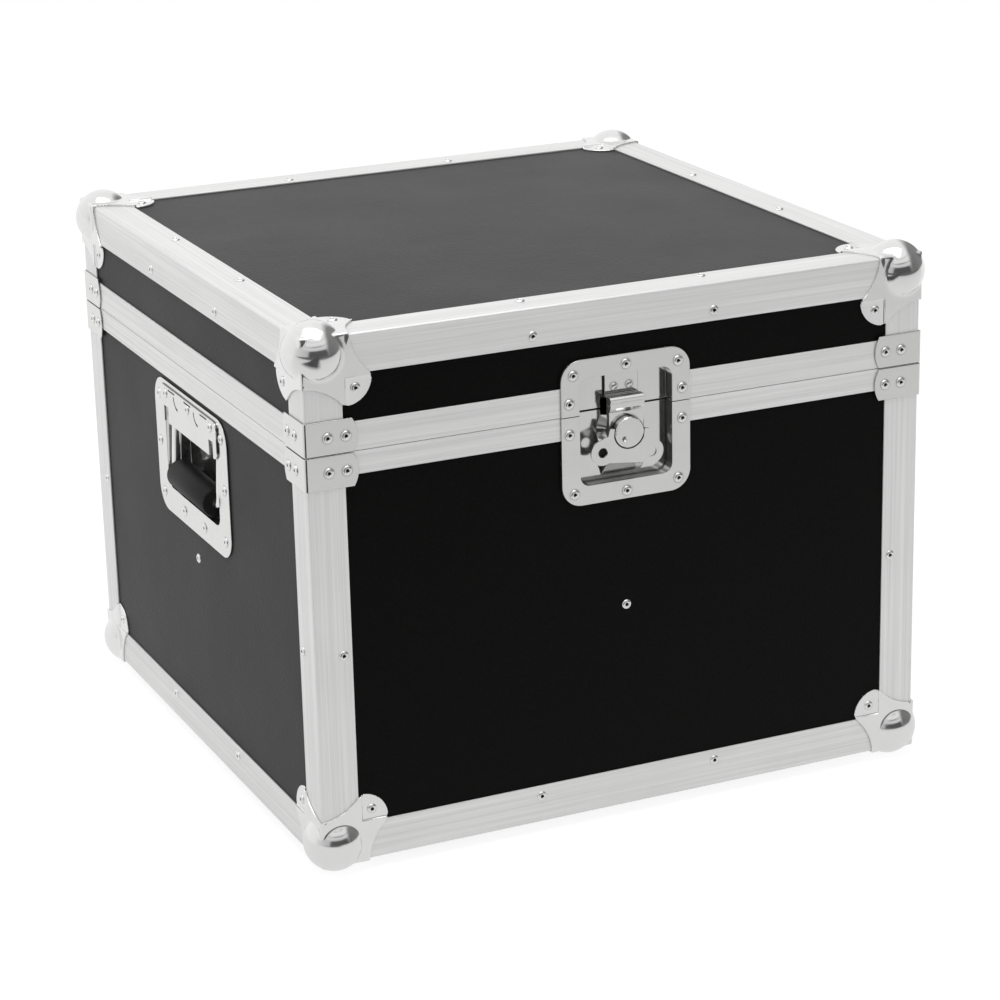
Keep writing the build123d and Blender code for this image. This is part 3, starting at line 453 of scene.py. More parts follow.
def grain_group():
    """Fine pebbled grain with slow, wide changes of tone."""
    group, source, out = new_group(
        "Pebble grain",
        [("Vector", "NodeSocketVector", (0, 0, 0)), ("Scale", "NodeSocketFloat", 900.0),
         ("Cloud scale", "NodeSocketFloat", 6.0)],
        ["Grain", "Height"])
    fine = noise(group, source["Vector"], source["Scale"], 3, 0.6)
    cloud = noise(group, source["Vector"], source["Cloud scale"], 2)
    share = maths(group, "MULTIPLY", cloud, 0.4)
    grain = maths(group, "MULTIPLY_ADD", spread(group, fine, 0.38, 0.66), 0.75, share)
    plug(group, grain, out["Grain"])
    plug(group, fine, out["Height"])
    return group


def drawn_group():
    """Lines drawn out along one direction, fine and broad together."""
    group, source, out = new_group(
        "Drawn lines",
        [("Vector", "NodeSocketVector", (0, 0, 0)), ("Stretch", "NodeSocketVector", (1, 400, 400)),
         ("Fine scale", "NodeSocketFloat", 3.0)],
        ["Line", "Height"])
    sockets = {0: source["Vector"], 1: source["Stretch"]}
    scaled = add_node(group, "ShaderNodeVectorMath", sockets, operation="MULTIPLY")["Vector"]
    broad = noise(group, scaled, 1, 2)
    fine = noise(group, scaled, source["Fine scale"], 4, 0.7)
    both = maths(group, "MULTIPLY_ADD", broad, 0.5, maths(group, "MULTIPLY", fine, 0.5))
    plug(group, spread(group, both, 0.33, 0.67), out["Line"])
    plug(group, both, out["Height"])
    return group


def smudge_group():
    """Handling marks: soft clouds and a few fine scratches."""
    group, source, out = new_group(
        "Handling marks",
        [("Vector", "NodeSocketVector", (0, 0, 0)), ("Low", "NodeSocketFloat", 0.15),
         ("High", "NodeSocketFloat", 0.3), ("Scale", "NodeSocketFloat", 40.0)],
        ["Roughness", "Mask", "Height"])
    cloud = noise(group, source["Vector"], source["Scale"], 5, 0.65)
    scratch = noise(group, source["Vector"], 700, 2)
    plug(group, spread(group, cloud, 0.35, 0.68, source["Low"], source["High"]), out["Roughness"])
    plug(group, cloud, out["Mask"])
    plug(group, scratch, out["Height"])
    return group


GROUPS = {}


def shader_group(maker):
    """A shader group, built once."""
    if maker not in GROUPS:
        GROUPS[maker] = maker()
    return GROUPS[maker]


# Materials

def new_material(name, **constants):
    """A material, its tree, the sockets of its shader with the constants set, and the place on the object."""
    material = bpy.data.materials.new(name)
    material.use_nodes = True
    tree = material.node_tree
    shader = tree.nodes["Principled BSDF"].inputs
    for label, value in constants.items():
        shader[label.replace("_", " ")].default_value = value
    return material, tree, shader, add_node(tree, "ShaderNodeTexCoord")["Object"]


def add_group(tree, maker, place, **values):
    """Add a shader group at a place and return its outputs."""
    node = tree.nodes.new("ShaderNodeGroup")
    node.node_tree = shader_group(maker)
    tree.links.new(place, node.inputs["Vector"])
    for label, value in values.items():
        node.inputs[label.replace("_", " ")].default_value = value
    return node.outputs


def add_bump(tree, height, distance, shader, strength):
    sockets = {"Strength": strength, "Distance": distance, "Height": height}
    plug(tree, add_node(tree, "ShaderNodeBump", sockets)["Normal"], shader["Normal"])


def laminate_material(finish):
    material, tree, shader, place = new_material("Black laminate", IOR=1.15, Sheen_Weight=0.105,
                                                  Sheen_Roughness=0.45)
    grain = add_group(tree, grain_group, place, Scale=480.0, Cloud_scale=5.0)
    marks = add_group(tree, smudge_group, place, Low=0.36, High=0.41, Scale=9.0)
    plug(tree, mixed(tree, grain["Grain"], finish.laminate, finish.laminate_fleck), shader["Base Color"])
    plug(tree, marks["Roughness"], shader["Roughness"])
    add_bump(tree, grain["Height"], 0.3 * MM, shader, 0.8)
    return material


def aluminium_material(finish, label, stretch):
    material, tree, shader, place = new_material("Drawn aluminium " + label, Metallic=0.4)
    lines = add_group(tree, drawn_group, place, Stretch=stretch)
    marks = add_group(tree, smudge_group, place, Low=0.36, High=0.5, Scale=14.0)
    plug(tree, mixed(tree, lines["Line"], finish.aluminium_line, finish.aluminium), shader["Base Color"])
    plug(tree, marks["Roughness"], shader["Roughness"])
    add_bump(tree, lines["Height"], 0.03 * MM, shader, 0.5)
    return material


def plate_material(name, metallic, low, high, bright, shade, scale, corner_painted_shade=1.0):
    """Plated steel: bright, with soft clouds of handling and painted shade that darkens the colour where two faces
    meet.
    """
    material, tree, shader, place = new_material(name, Metallic=metallic)
    marks = add_group(tree, smudge_group, place, Low=low, High=high, Scale=scale)
    # Painted shade: ambient occlusion darkens the base colour where faces meet, down to the share given by the last
    # argument.
    near = add_node(tree, "ShaderNodeAmbientOcclusion", {"Distance": PAINTED_SHADE_REACH}, samples=8)["AO"]
    plating = mixed(tree, marks["Mask"], shade, bright)
    plating_painted_shade = mixed(tree, 1, plating, spread(tree, near, 0.4, 0.95, corner_painted_shade), "MULTIPLY")
    plug(tree, plating_painted_shade, shader["Base Color"])
    plug(tree, marks["Roughness"], shader["Roughness"])
    add_bump(tree, marks["Height"], 0.01 * MM, shader, 0.3)
    return material


def soft_material(name, color, fleck, scale, roughness, depth, sheen):
    """Rubber or foam: pored, with a dull sheen. The same maker with the rubber's colour paints the shade in the
    rivets' holes near black.
    """
    material, tree, shader, place = new_material(name, Roughness=roughness, Sheen_Weight=sheen, IOR=1.22)
    grain = add_group(tree, grain_group, place, Scale=scale, Cloud_scale=12.0)
    plug(tree, mixed(tree, grain["Grain"], color, fleck), shader["Base Color"])
    add_bump(tree, grain["Height"], depth, shader, 0.8)
    return material


def ply_material(finish):
    material, tree, shader, place = new_material("Birch plywood", Roughness=0.55)
    lines = add_group(tree, drawn_group, place, Stretch=(6.0, 6.0, 160.0))
    plug(tree, mixed(tree, lines["Line"], finish.ply_vein, finish.ply), shader["Base Color"])
    add_bump(tree, lines["Height"], 0.08 * MM, shader, 0.5)
    return material


def toned(color, share):
    """A colour made darker or paler."""
    return [value * share for value in color[:3]] + [1]


MATERIALS = {}


def make_materials(finish):
    ball_shade = toned(finish.ball, 0.9)
    MATERIALS["laminate"] = laminate_material(finish)
    MATERIALS["rail_x"] = aluminium_material(finish, "along X", (3.0, 420.0, 420.0))
    MATERIALS["rail_y"] = aluminium_material(finish, "along Y", (420.0, 3.0, 420.0))
    MATERIALS["post"] = aluminium_material(finish, "upright", (420.0, 420.0, 3.0))
    # The last number is the least share of colour kept in the painted shade of corners: the zinc is darkened to a
    # tenth, the other plated materials keep 1 and are not darkened.
    MATERIALS["zinc"] = plate_material("Bright zinc", 0.96, 0.07, 0.16, finish.zinc, finish.zinc_shade, 45.0, 0.1)
    MATERIALS["ball"] = plate_material("Nickel plate", 0.92, 0.08, 0.17, finish.ball, ball_shade, 60.0)
    MATERIALS["rivet"] = plate_material("Rivet steel", 0.85, 0.14, 0.24, finish.ball, ball_shade, 300.0)
    MATERIALS["polished"] = plate_material("Polished steel", 0.95, 0.08, 0.15, finish.ball, finish.zinc, 70.0)
    MATERIALS["spring"] = plate_material("Spring steel", 0.95, 0.3, 0.4, finish.zinc_shade, ball_shade, 200.0)
    # Painted shade: the shallow hole in a blind rivet's head is given the rubber's near-black colour to stand for the
    # shade of a deep hole.
    MATERIALS["hole"] = soft_material("Rivet hole", finish.rubber, finish.rubber, 900.0, 0.7, 0.01 * MM, 0.0)
    MATERIALS["rubber"] = soft_material("Black rubber", finish.rubber, toned(finish.rubber, 2),
                                        500.0, 0.5, 0.05 * MM, 0.0)
    MATERIALS["foam"] = soft_material("Black foam", finish.foam, toned(finish.foam, 2.2),
                                      700.0, 0.95, 0.35 * MM, 0.3)
    MATERIALS["ply"] = ply_material(finish)


# Pieces

def dress_node(node, material):
    """Give a CAD piece that stays its material."""
    nodes[node].data.materials.clear()
    nodes[node].data.materials.append(MATERIALS[material])


def make_boards():
    for node in BOARDS:
        dress_node(node, "laminate")
    for node in ("divider_long", "divider_cross"):
        dress_node(node, "ply")


def make_profiles(sizes):
    """The extrusions, with their edges broken."""
    for group, material in ((RAILS_X, "rail_x"), (RAILS_Y, "rail_y"), (POSTS, "post")):
        for node in group:
            piece = softened(node, node + "_profile", sizes.profile_edge)
            dressed(piece, body_of(node), "aluminium_profile", MATERIALS[material], node)


def pick_corners(piece, test):
    """Select the corners of a piece that pass a test."""
    only(piece)
    bpy.context.tool_settings.mesh_select_mode = (True, False, False)
    corners = piece.data.vertices
    for corner in corners:
        corner.select = test(corner.co)
    for edge in piece.data.edges:
        edge.select = all(corners[i].select for i in edge.vertices)
    for face in piece.data.polygons:
        face.select = all(corners[i].select for i in face.vertices)


def moved_corners(piece, test, step):
    """Move the corners of a piece that pass a test."""
    pick_corners(piece, test)
    bpy.ops.object.mode_set(mode="EDIT")
    bpy.ops.transform.translate(value=step)
    end_edit()


def make_dish_half(node, up, sizes):
    """Half the latch dish, its floor standing back a little from the parting line."""
    piece = copy_of(node, node + "_sheet")
    low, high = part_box(node)
    edge = low.z if up > 0 else high.z
    behind = low.y + FLANGE_DEPTH
    moved_corners(piece, lambda co: abs(co.z - edge) < TOUCH and co.y > behind, (0, 0, up * sizes.dish_slit))
    round_edges(piece, sizes.sheet_edge, 3)
    dressed(piece, body_of(node), "zinc_steel", MATERIALS["zinc"], node)


def make_drum(sizes):
    """The drum, its dimple punched to a cone."""
    node = "latch_drum"
    piece = copy_of(node, node + "_boss")
    low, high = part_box(node)
    middle = Vector(((low.x + high.x) / 2, low.y, high.z - sizes.drum_radius))
    place = middle + Vector((-DIMPLE_SIDE, DIMPLE_RIM, -DIMPLE_SIDE))
    pick_corners(piece, lambda co: (co - place).length < DIMPLE_REACH and abs(co.y - place.y) < 2 * TOUCH)
    bpy.ops.object.mode_set(mode="EDIT")
    bpy.ops.transform.resize(value=(DIMPLE_TIP, 1, DIMPLE_TIP), center_override=place)
    bpy.ops.transform.translate(value=(0, DIMPLE_DEPTH, 0))
    end_edit()
    round_edges(piece, DRUM_EDGE)
    dressed(piece, body_of(node), "zinc_steel", MATERIALS["zinc"], node)


def make_fittings(sizes):
    """The latch, hinges, braces, handle dishes and covers."""
    make_dish_half("latch_dish_upper", 1, sizes)
    make_dish_half("latch_dish_lower", -1, sizes)
    for node in ("base_corner_braces", "lid_corner_braces", "latch_keeper", "latch_wing", "latch_wing_rest",
                 "latch_hook", "hinge_base_leaves", "hinge_lid_leaves", "handle_dish_left", "handle_dish_right"):
        piece = softened(node, node + "_sheet", sizes.sheet_edge, segments=3)
        dressed(piece, body_of(node), "zinc_steel", MATERIALS["zinc"], node)
    make_drum(sizes)
    for end in ENDS:
        make_cover(end, sizes)
    for node in ("latch_wing_pin", "hinge_pins", "divider_brackets"):
        dress_node(node, "zinc")
    dress_node("handle_springs", "spring")


def slit_ring(place, sizes):
    """The curved slit beside a pressed saddle: the lower front quarter of a ring about X."""
    bpy.ops.object.select_all(action="DESELECT")
    bpy.ops.mesh.primitive_circle_add(vertices=48, radius=sizes.slit_radius, rotation=(0, radians(90), 0),
                                      location=(place[0] - RING_REACH, place[1], place[2]))
    ring = bpy.context.object
    apply_all(ring)
    edit_all(ring)
    keep_behind(place, (0, -1, 0))
    keep_behind(place, (0, 0, 1))
    bpy.ops.mesh.select_all(action="SELECT")
    bpy.ops.mesh.extrude_region_move(TRANSFORM_OT_translate={"value": (2 * RING_REACH, 0, 0)})
    end_edit()
    add_modifier(ring, "SOLIDIFY", thickness=sizes.slit_width, offset=0)
    edit_all(ring)
    bpy.ops.mesh.normals_make_consistent(inside=False)
    end_edit()
    return ring


def round_corners(plate, sizes):
    """Round the corners of a plate that lies across X."""
    only(plate)
    bpy.context.tool_settings.mesh_select_mode = (False, True, False)
    bpy.ops.object.mode_set(mode="EDIT")
    bpy.ops.mesh.select_all(action="DESELECT")
    end_edit()
    for edge in plate.data.edges:
        a, b = (plate.data.vertices[i].co for i in edge.vertices)
        edge.select = abs(a.x - b.x) > sizes.cover_sheet / 2
    bpy.ops.object.mode_set(mode="EDIT")
    bpy.ops.mesh.bevel(offset=sizes.cover_corner, segments=8, affect="EDGES")
    end_edit()


def make_cover(end, sizes):
    """The plate over the spring axle, with its notches, curved slits and three slits along its top."""
    node = "handle_cover_" + end
    low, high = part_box(node)
    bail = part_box("handle_bail_" + end)[1]
    out = 1 if end == "right" else -1
    face = high.x if out > 0 else low.x
    under = face - out * sizes.cover_sheet
    front, back = face - TOOL_REACH, face + TOOL_REACH
    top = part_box("handle_dish_" + end)[1].z - sizes.cover_drop
    axle = bail.z - sizes.bail_radius
    arm = bail.y - sizes.bail_radius
    wide = sizes.bail_radius + NOTCH_GAP
    plate = block((min(face, under), low.y, axle - sizes.cover_below), (max(face, under), high.y, top))
    round_corners(plate, sizes)
    for side in (-1, 1):
        cut(plate, block((front, side * arm - wide, axle - 2 * TOOL_REACH), (back, side * arm + wide, axle + wide)))
    for place in sizes.slit_places:
        cut(plate, slit_ring((face, place, top - sizes.slit_drop), sizes))
    for place in TOP_SLIT_PLACES:
        cut(plate, block((front, place - TOP_SLIT_HALF, top - TOP_SLIT_LOW),
                         (back, place + TOP_SLIT_HALF, top - TOP_SLIT_HIGH)))
    saddles = copy_of(node, node + "_saddles")
    edit_all(saddles)
    keep_behind((under - out * SADDLE_CUT, 0, 0), (out, 0, 0))
    end_edit()
    round_edges(plate, sizes.sheet_edge)
    smooth(saddles, 40)
    piece = joined([plate, saddles], node + "_plate")
    dressed(piece, body_of(node), "zinc_steel", MATERIALS["zinc"], node)


def near_corner(node):
    """A copy of the corner at the left front of a CAD node with four."""
    piece = copy_of(node, "ball_corner")
    edit_all(piece)
    keep_behind((0, 0, 0), (1, 0, 0))
    keep_behind((0, 0, 0), (0, 1, 0))
    end_edit()
    return piece


def ball_cap(centre, sizes):
    """The smooth ball without the part that lies inside the case."""
    bpy.ops.object.select_all(action="DESELECT")
    bpy.ops.mesh.primitive_uv_sphere_add(segments=96, ring_count=64, radius=sizes.ball_radius, location=centre)
    ball = bpy.context.object
    apply_all(ball)
    reach = 2 * sizes.ball_radius
    corner = Vector([value - BALL_INSET for value in centre])
    cut(ball, block(corner, corner + Vector((reach, reach, reach))))
    return ball


def blend_foot(piece, centre, sizes):
    """Let the ball's foot run out into the sheet."""
    group = piece.vertex_groups.new(name="foot")
    planes = [value - BALL_INSET - CORNER_SHEET for value in centre]
    for vert in piece.data.vertices:
        from_ball = (vert.co - centre).length - sizes.ball_radius
        from_sheet = min(abs(vert.co[i] - planes[i]) for i in range(3))
        away = (from_ball ** 2 + from_sheet ** 2) ** 0.5
        if away < sizes.ball_blend:
            group.add([vert.index], 1 - (away / sizes.ball_blend) ** 2, "REPLACE")
    add_modifier(piece, "SMOOTH", vertex_group="foot", factor=0.6, iterations=24)


def make_ball_corners(sizes):
    """One pressed corner, its smooth ball run out into the sheet, and its seven mirror images."""
    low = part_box("base_ball_corners")[0]
    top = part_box("lid_ball_corners")[1].z
    centre = low + Vector((sizes.ball_radius,) * 3)
    corner = near_corner("base_ball_corners")
    corner = joined([corner, ball_cap(centre, sizes)], "ball_corner")
    add_modifier(corner, "REMESH", mode="VOXEL", voxel_size=sizes.ball_voxel, use_smooth_shade=True)
    blend_foot(corner, centre, sizes)
    add_modifier(corner, "DECIMATE", ratio=sizes.ball_share)
    for node, up in (("base_ball_corners", 1), ("lid_ball_corners", -1)):
        corners = []
        for side, back in ((1, 1), (-1, 1), (1, -1), (-1, -1)):
            image = object_of(corner.data, "corner")
            edit_all(image)
            bpy.ops.transform.resize(value=(side, back, up), center_override=(0, 0, (low.z + top) / 2))
            bpy.ops.mesh.normals_make_consistent(inside=False)
            end_edit()
            corners.append(image)
        piece = joined(corners, node + "_pressed")
        smooth(piece, 50)
        dressed(piece, body_of(node), "ball_steel", MATERIALS["ball"], node)
    bpy.data.objects.remove(corner)


def lean(piece, pivot, angle):
    """Turn a piece about the axle of its bail."""
    edit_all(piece)
    bpy.ops.transform.rotate(value=angle, orient_axis="Y", center_override=pivot)
    end_edit()


def make_bail(node, sizes):
    """One rod bent to a closed frame."""
    low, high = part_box(node)
    radius = sizes.bail_radius
    middle = (low + high) / 2
    bpy.ops.object.select_all(action="DESELECT")
    bpy.ops.mesh.primitive_plane_add(size=1, location=middle, rotation=(0, radians(90), 0))
    path = bpy.context.object
    path.scale = (high.z - low.z - 2 * radius, high.y - low.y - 2 * radius, 1)
    apply_all(path)
    edit_all(path)
    bpy.ops.mesh.delete(type="ONLY_FACE")
    bpy.ops.mesh.select_all(action="SELECT")
    bpy.ops.mesh.bevel(offset=sizes.bail_bend, segments=10, affect="VERTICES")
    end_edit()
    bpy.ops.object.convert(target="CURVE")
    path = bpy.context.object
    path.data.bevel_depth = radius
    path.data.bevel_resolution = 6
    bpy.ops.object.convert(target="MESH")
    rod = named(bpy.context.object, node + "_rod")
    smooth(rod, 40)
    return rod


def make_grip(node, sizes):
    """A rubber sleeve with rounded ends."""
    low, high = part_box(node)
    middle = (low + high) / 2
    radius = (high.z - low.z) / 2
    edge = sizes.grip_edge
    half = (high.y - low.y) / 2
    rings = [(sizes.bail_radius, -half), (radius - edge, -half), (radius - 0.3 * edge, -half + 0.3 * edge),
             (radius, -half + edge), (radius, half - edge), (radius - 0.3 * edge, half - 0.3 * edge),
             (radius - edge, half), (sizes.bail_radius, half)]
    grip = turned(node + "_sleeve", rings, 48)
    edit_all(grip)
    bpy.ops.transform.rotate(value=radians(90), orient_axis="X", center_override=(0, 0, 0))
    bpy.ops.transform.translate(value=middle)
    end_edit()
    return grip


def make_handles(sizes):
    """The bails and grips, leaning a little out of their dishes."""
    for end in ENDS:
        bail = "handle_bail_" + end
        grip = "handle_grip_" + end
        low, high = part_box(bail)
        pivot = Vector(((low.x + high.x) / 2, 0, high.z - sizes.bail_radius))
        turn = sizes.bail_lean if end == "right" else -sizes.bail_lean
        rod = make_bail(bail, sizes)
        sleeve = make_grip(grip, sizes)
        for piece in (rod, sleeve):
            lean(piece, pivot, turn)
        dressed(rod, body_of(bail), "zinc_steel", MATERIALS["polished"], bail)
        dressed(sleeve, body_of(grip), "grip_rubber", MATERIALS["rubber"], grip)


def make_foam(sizes):
    """Foam pads with rounded edges."""
    for node, body in (("floor_pads", "base"), ("lid_pad", "lid")):
        pads = []
        for corners in islands(nodes[node].data):
            pad = block(*box_of(corners))
            edit_all(pad)
            bpy.ops.mesh.bevel(offset=sizes.foam_edge, segments=3, affect="EDGES")
            end_edit()
            smooth(pad, 50)
            pads.append(pad)
        piece = joined(pads, node + "_foam")
        dressed(piece, body, "foam", MATERIALS["foam"], node)


def rivet_heads(sizes):
    """A blind rivet's head with its hole, and the plain domed rivet of the keeper."""
    hole = sizes.rivet_hole
    blind = turned("blind_rivet", [
        (3.9 * MM, 0), (3.9 * MM, 0.28 * MM), (3.72 * MM, 0.62 * MM), (3.3 * MM, 1.0 * MM), (2.7 * MM, 1.3 * MM),
        (2.2 * MM, 1.42 * MM), (1.8 * MM, 1.38 * MM), (hole + 0.25 * MM, 1.15 * MM), (hole, 1.0 * MM),
        (hole * 0.96, 0.7 * MM), (hole * 0.3, 0.66 * MM),
    ])
    blind.data.materials.append(MATERIALS["rivet"])
    blind.data.materials.append(MATERIALS["hole"])
    # Painted shade: the faces inside the hole take the near-black hole material.
    for face in blind.data.polygons:
        reach = max(blind.data.vertices[i].co.xy.length for i in face.vertices)
        top = max(blind.data.vertices[i].co.z for i in face.vertices)
        if reach < hole * 1.01 and top > 0:
            face.material_index = 1
    domed = turned("domed_rivet", [
        (3.1 * MM, 0), (3.1 * MM, 0.15 * MM), (2.9 * MM, 0.65 * MM), (2.4 * MM, 1.1 * MM), (1.7 * MM, 1.45 * MM),
        (0.9 * MM, 1.65 * MM), (0.3 * MM, 1.7 * MM),
    ])
    domed.data.materials.append(MATERIALS["rivet"])
    return blind, domed


def head_place(corners):
    """Where a rivet's foot is, which way it points and how wide it is."""
    low, high = box_of(corners)
    size = high - low
    axis = min(range(3), key=lambda i: size[i])
    rings = []
    for level, way in ((low[axis], 1), (high[axis], -1)):
        ring = [point for point in corners if abs(point[axis] - level) < 0.01 * MM]
        middle = sum(ring, Vector()) / len(ring)
        reach = max((point - middle).length for point in ring)
        rings.append((reach, way, middle))
    reach, way, middle = max(rings, key=lambda ring: ring[0])
    out = Vector((0, 0, 0))
    out[axis] = way
    return middle, out, reach


def make_rivets(sizes):
    blind, domed = rivet_heads(sizes)
    for node, body in RIVET_NODES.items():
        heads = []
        for corners in islands(nodes[node].data):
            foot, out, wide = head_place(corners)
            model = blind if wide > BLIND_WIDTH else domed
            head = object_of(model.data, "head")
            turn = out.to_track_quat("Z", "Y").to_matrix().to_4x4()
            head.matrix_world = Matrix.Translation(foot) @ turn
            heads.append(head)
        piece = joined(heads, node + "_heads")
        apply_all(piece)
        dressed(piece, body, "rivet_steel", MATERIALS["rivet"], node)
    bpy.data.objects.remove(blind)
    bpy.data.objects.remove(domed)


# Studio

def tone_ramp(tree, value, low, high, stops):
    """A grey scale along a value, from (value, tone) stops."""
    ramp = tree.nodes.new("ShaderNodeValToRGB")
    tree.links.new(spread(tree, value, low, high), ramp.inputs["Fac"])
    elements = ramp.color_ramp.elements
    while len(elements) < len(stops):
        elements.new(0.5)
    for element, (place, tone) in zip(elements, stops):
        element.position = (place - low) / (high - low)
        element.color = (tone, tone, tone, 1)
    return ramp.outputs["Color"]


def axes_of(tree, label):
    """The three parts of a coordinate."""
    place = add_node(tree, "ShaderNodeTexCoord")[label]
    return add_node(tree, "ShaderNodeSeparateXYZ", {"Vector": place})


def make_floor():
    """A pale floor: white to the camera, with the shadow kept, and darker to the front in reflections."""
    bpy.ops.object.select_all(action="DESELECT")
    bpy.ops.mesh.primitive_plane_add(size=FLOOR_SIZE, location=(0, 0, 0))
    floor = named(bpy.context.object, "studio_floor")
    material = bpy.data.materials.new("Studio floor")
    material.use_nodes = True
    tree = material.node_tree
    tree.nodes.clear()
    out = tree.nodes.new("ShaderNodeOutputMaterial")
    ray = add_node(tree, "ShaderNodeLightPath")
    axes = axes_of(tree, "Object")
    paper = add_node(tree, "ShaderNodeBsdfDiffuse", {"Color": PAPER})["BSDF"]
    white = add_node(tree, "ShaderNodeEmission", {"Strength": WHITE_STRENGTH})["Emission"]
    share = maths(tree, "MULTIPLY", ray["Is Camera Ray"], WHITE_SHARE)
    tone = mixed(tree, tone_ramp(tree, axes["Y"], -4, 1, FLOOR_FRONT), tone_ramp(tree, axes["Y"], -4, 1, FLOOR_TONES),
                 tone_ramp(tree, axes["X"], -2, 1, FLOOR_SHADES), "MULTIPLY")
    glow = add_node(tree, "ShaderNodeEmission", {"Color": tone})["Emission"]
    seen = mixed_shaders(tree, share, paper, white)
    plug(tree, mixed_shaders(tree, ray["Is Glossy Ray"], seen, glow), out.inputs["Surface"])
    floor.data.materials.append(material)


def make_world():
    """White behind the case, plain light all round, and a darker room in front for reflections."""
    world = bpy.data.worlds.new("Studio")
    bpy.context.scene.world = world
    world.use_nodes = True
    tree = world.node_tree
    plain = tree.nodes["Background"]
    plain.inputs["Color"].default_value = WHITE
    plain.inputs["Strength"].default_value = ROOM_STRENGTH
    ray = add_node(tree, "ShaderNodeLightPath")
    axes = axes_of(tree, "Generated")
    tone = mixed(tree, 1, tone_ramp(tree, axes["Y"], -1, 1, WALL_TONES),
                 tone_ramp(tree, axes["Z"], 0, 1, CEILING_TONES), "LIGHTEN")
    tone = mixed(tree, 1, tone, tone_ramp(tree, axes["X"], -1, 1, SIDE_SHADES), "MULTIPLY")
    room = add_node(tree, "ShaderNodeBackground", {"Color": tone})["Background"]
    white = add_node(tree, "ShaderNodeBackground", {"Color": WHITE})["Background"]
    mirrored = mixed_shaders(tree, ray["Is Glossy Ray"], plain.outputs["Background"], room)
    seen = mixed_shaders(tree, ray["Is Camera Ray"], mirrored, white)
    plug(tree, seen, tree.nodes["World Output"].inputs["Surface"])


def make_lamp(name, place, target, width, height, power, mirrored):
    bpy.ops.object.light_add(type="AREA", location=place)
    lamp = bpy.context.object
    lamp.name = name
    lamp.data.shape = "RECTANGLE"
    lamp.data.size = width
    lamp.data.size_y = height
    lamp.data.energy = power
    lamp.visible_glossy = mirrored
    aim = Vector(target) - Vector(place)
    lamp.rotation_euler = aim.to_track_quat("-Z", "Y").to_euler()


def make_lights():
    for lamp in LAMPS:
        make_lamp(*lamp)


def make_camera(studio):
    turn = Matrix.Rotation(radians(studio.azimuth), 3, "Z")
    turn @= Matrix.Rotation(radians(90 - studio.elevation), 3, "X")
    turn @= Matrix.Rotation(radians(studio.roll), 3, "Z")
    bpy.ops.object.camera_add(location=studio.place, rotation=turn.to_euler())
    camera = bpy.context.object
    camera.data.lens = studio.lens
    camera.data.sensor_width = 36
    camera.data.clip_start = 0.05
    bpy.context.scene.camera = camera


# Operators

class FLIGHTCASE_OT_stage(bpy.types.Operator):
    """Set up the camera, the lights and the pale floor"""
    bl_idname = "flightcase.stage"
    bl_label = "Stage"

    def execute(self, context):
        make_camera(context.scene.case_studio)
        make_floor()
        make_world()
        make_lights()
        context.scene.view_settings.view_transform = "Standard"
        return {"FINISHED"}


class FLIGHTCASE_OT_finishes(bpy.types.Operator):
    """Build the materials and dress the boards"""
    bl_idname = "flightcase.finishes"
    bl_label = "Finishes"

    def execute(self, context):
        make_materials(context.scene.case_finish)
        make_boards()
        return {"FINISHED"}


class FLIGHTCASE_OT_profiles(bpy.types.Operator):
    """Round the edges of the aluminium profiles"""
    bl_idname = "flightcase.profiles"
    bl_label = "Profiles"

    def execute(self, context):
        make_profiles(context.scene.case_sizes)
        return {"FINISHED"}


class FLIGHTCASE_OT_fittings(bpy.types.Operator):
    """Round the sheet fittings, punch the drum and cut the handle covers"""
    bl_idname = "flightcase.fittings"
    bl_label = "Fittings"

    def execute(self, context):
        make_fittings(context.scene.case_sizes)
        return {"FINISHED"}


class FLIGHTCASE_OT_ball_corners(bpy.types.Operator):
    """Press the ball corners"""
    bl_idname = "flightcase.ball_corners"
    bl_label = "Ball corners"

    def execute(self, context):
        make_ball_corners(context.scene.case_sizes)
        return {"FINISHED"}


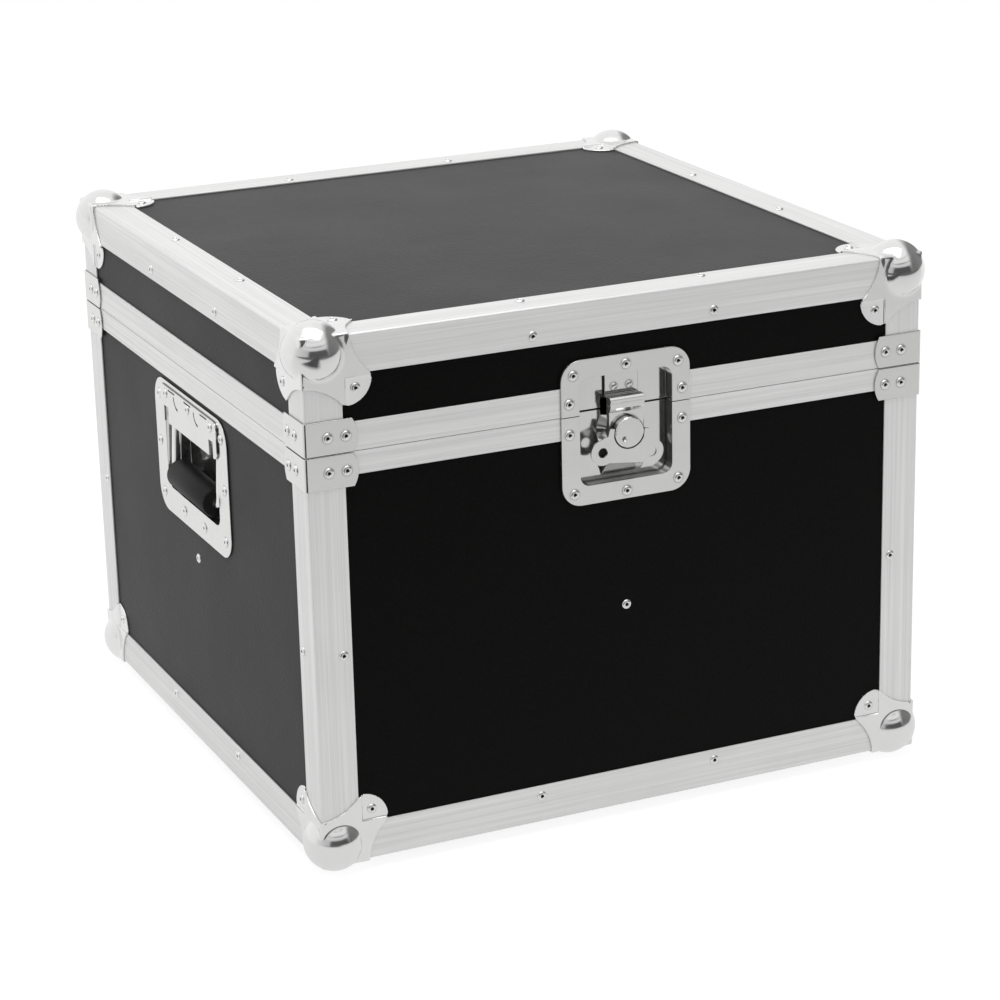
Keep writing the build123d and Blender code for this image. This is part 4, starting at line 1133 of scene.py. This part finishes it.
class FLIGHTCASE_OT_handles(bpy.types.Operator):
    """Bend the bails and mould the grips"""
    bl_idname = "flightcase.handles"
    bl_label = "Handles"

    def execute(self, context):
        make_handles(context.scene.case_sizes)
        return {"FINISHED"}


class FLIGHTCASE_OT_foam(bpy.types.Operator):
    """Cut the foam pads"""
    bl_idname = "flightcase.foam"
    bl_label = "Foam"

    def execute(self, context):
        make_foam(context.scene.case_sizes)
        return {"FINISHED"}


class FLIGHTCASE_OT_rivets(bpy.types.Operator):
    """Set the rivets"""
    bl_idname = "flightcase.rivets"
    bl_label = "Rivets"

    def execute(self, context):
        make_rivets(context.scene.case_sizes)
        return {"FINISHED"}


OPERATORS = (FLIGHTCASE_OT_stage, FLIGHTCASE_OT_finishes, FLIGHTCASE_OT_profiles, FLIGHTCASE_OT_fittings,
             FLIGHTCASE_OT_ball_corners, FLIGHTCASE_OT_handles, FLIGHTCASE_OT_foam, FLIGHTCASE_OT_rivets)


class FLIGHTCASE_PT_panel(bpy.types.Panel):
    """The steps that dress the case, in order"""
    bl_idname = "FLIGHTCASE_PT_panel"
    bl_label = "Flight case"
    bl_space_type = "VIEW_3D"
    bl_region_type = "UI"
    bl_category = "Flight case"

    def draw(self, context):
        for operator in OPERATORS:
            self.layout.operator(operator.bl_idname)


CLASSES = (FinishSettings, SizeSettings, StudioSettings, *OPERATORS, FLIGHTCASE_PT_panel)


def register():
    for cls in CLASSES:
        bpy.utils.register_class(cls)
    bpy.types.Scene.case_finish = PointerProperty(type=FinishSettings)
    bpy.types.Scene.case_sizes = PointerProperty(type=SizeSettings)
    bpy.types.Scene.case_studio = PointerProperty(type=StudioSettings)


def unregister():
    del bpy.types.Scene.case_studio
    del bpy.types.Scene.case_sizes
    del bpy.types.Scene.case_finish
    for cls in reversed(CLASSES):
        bpy.utils.unregister_class(cls)


def main():
    register()
    bpy.ops.flightcase.stage()
    bpy.ops.flightcase.finishes()
    bpy.ops.flightcase.profiles()
    bpy.ops.flightcase.fittings()
    bpy.ops.flightcase.ball_corners()
    bpy.ops.flightcase.handles()
    bpy.ops.flightcase.foam()
    bpy.ops.flightcase.rivets()


if __name__ == "__main__":
    main()
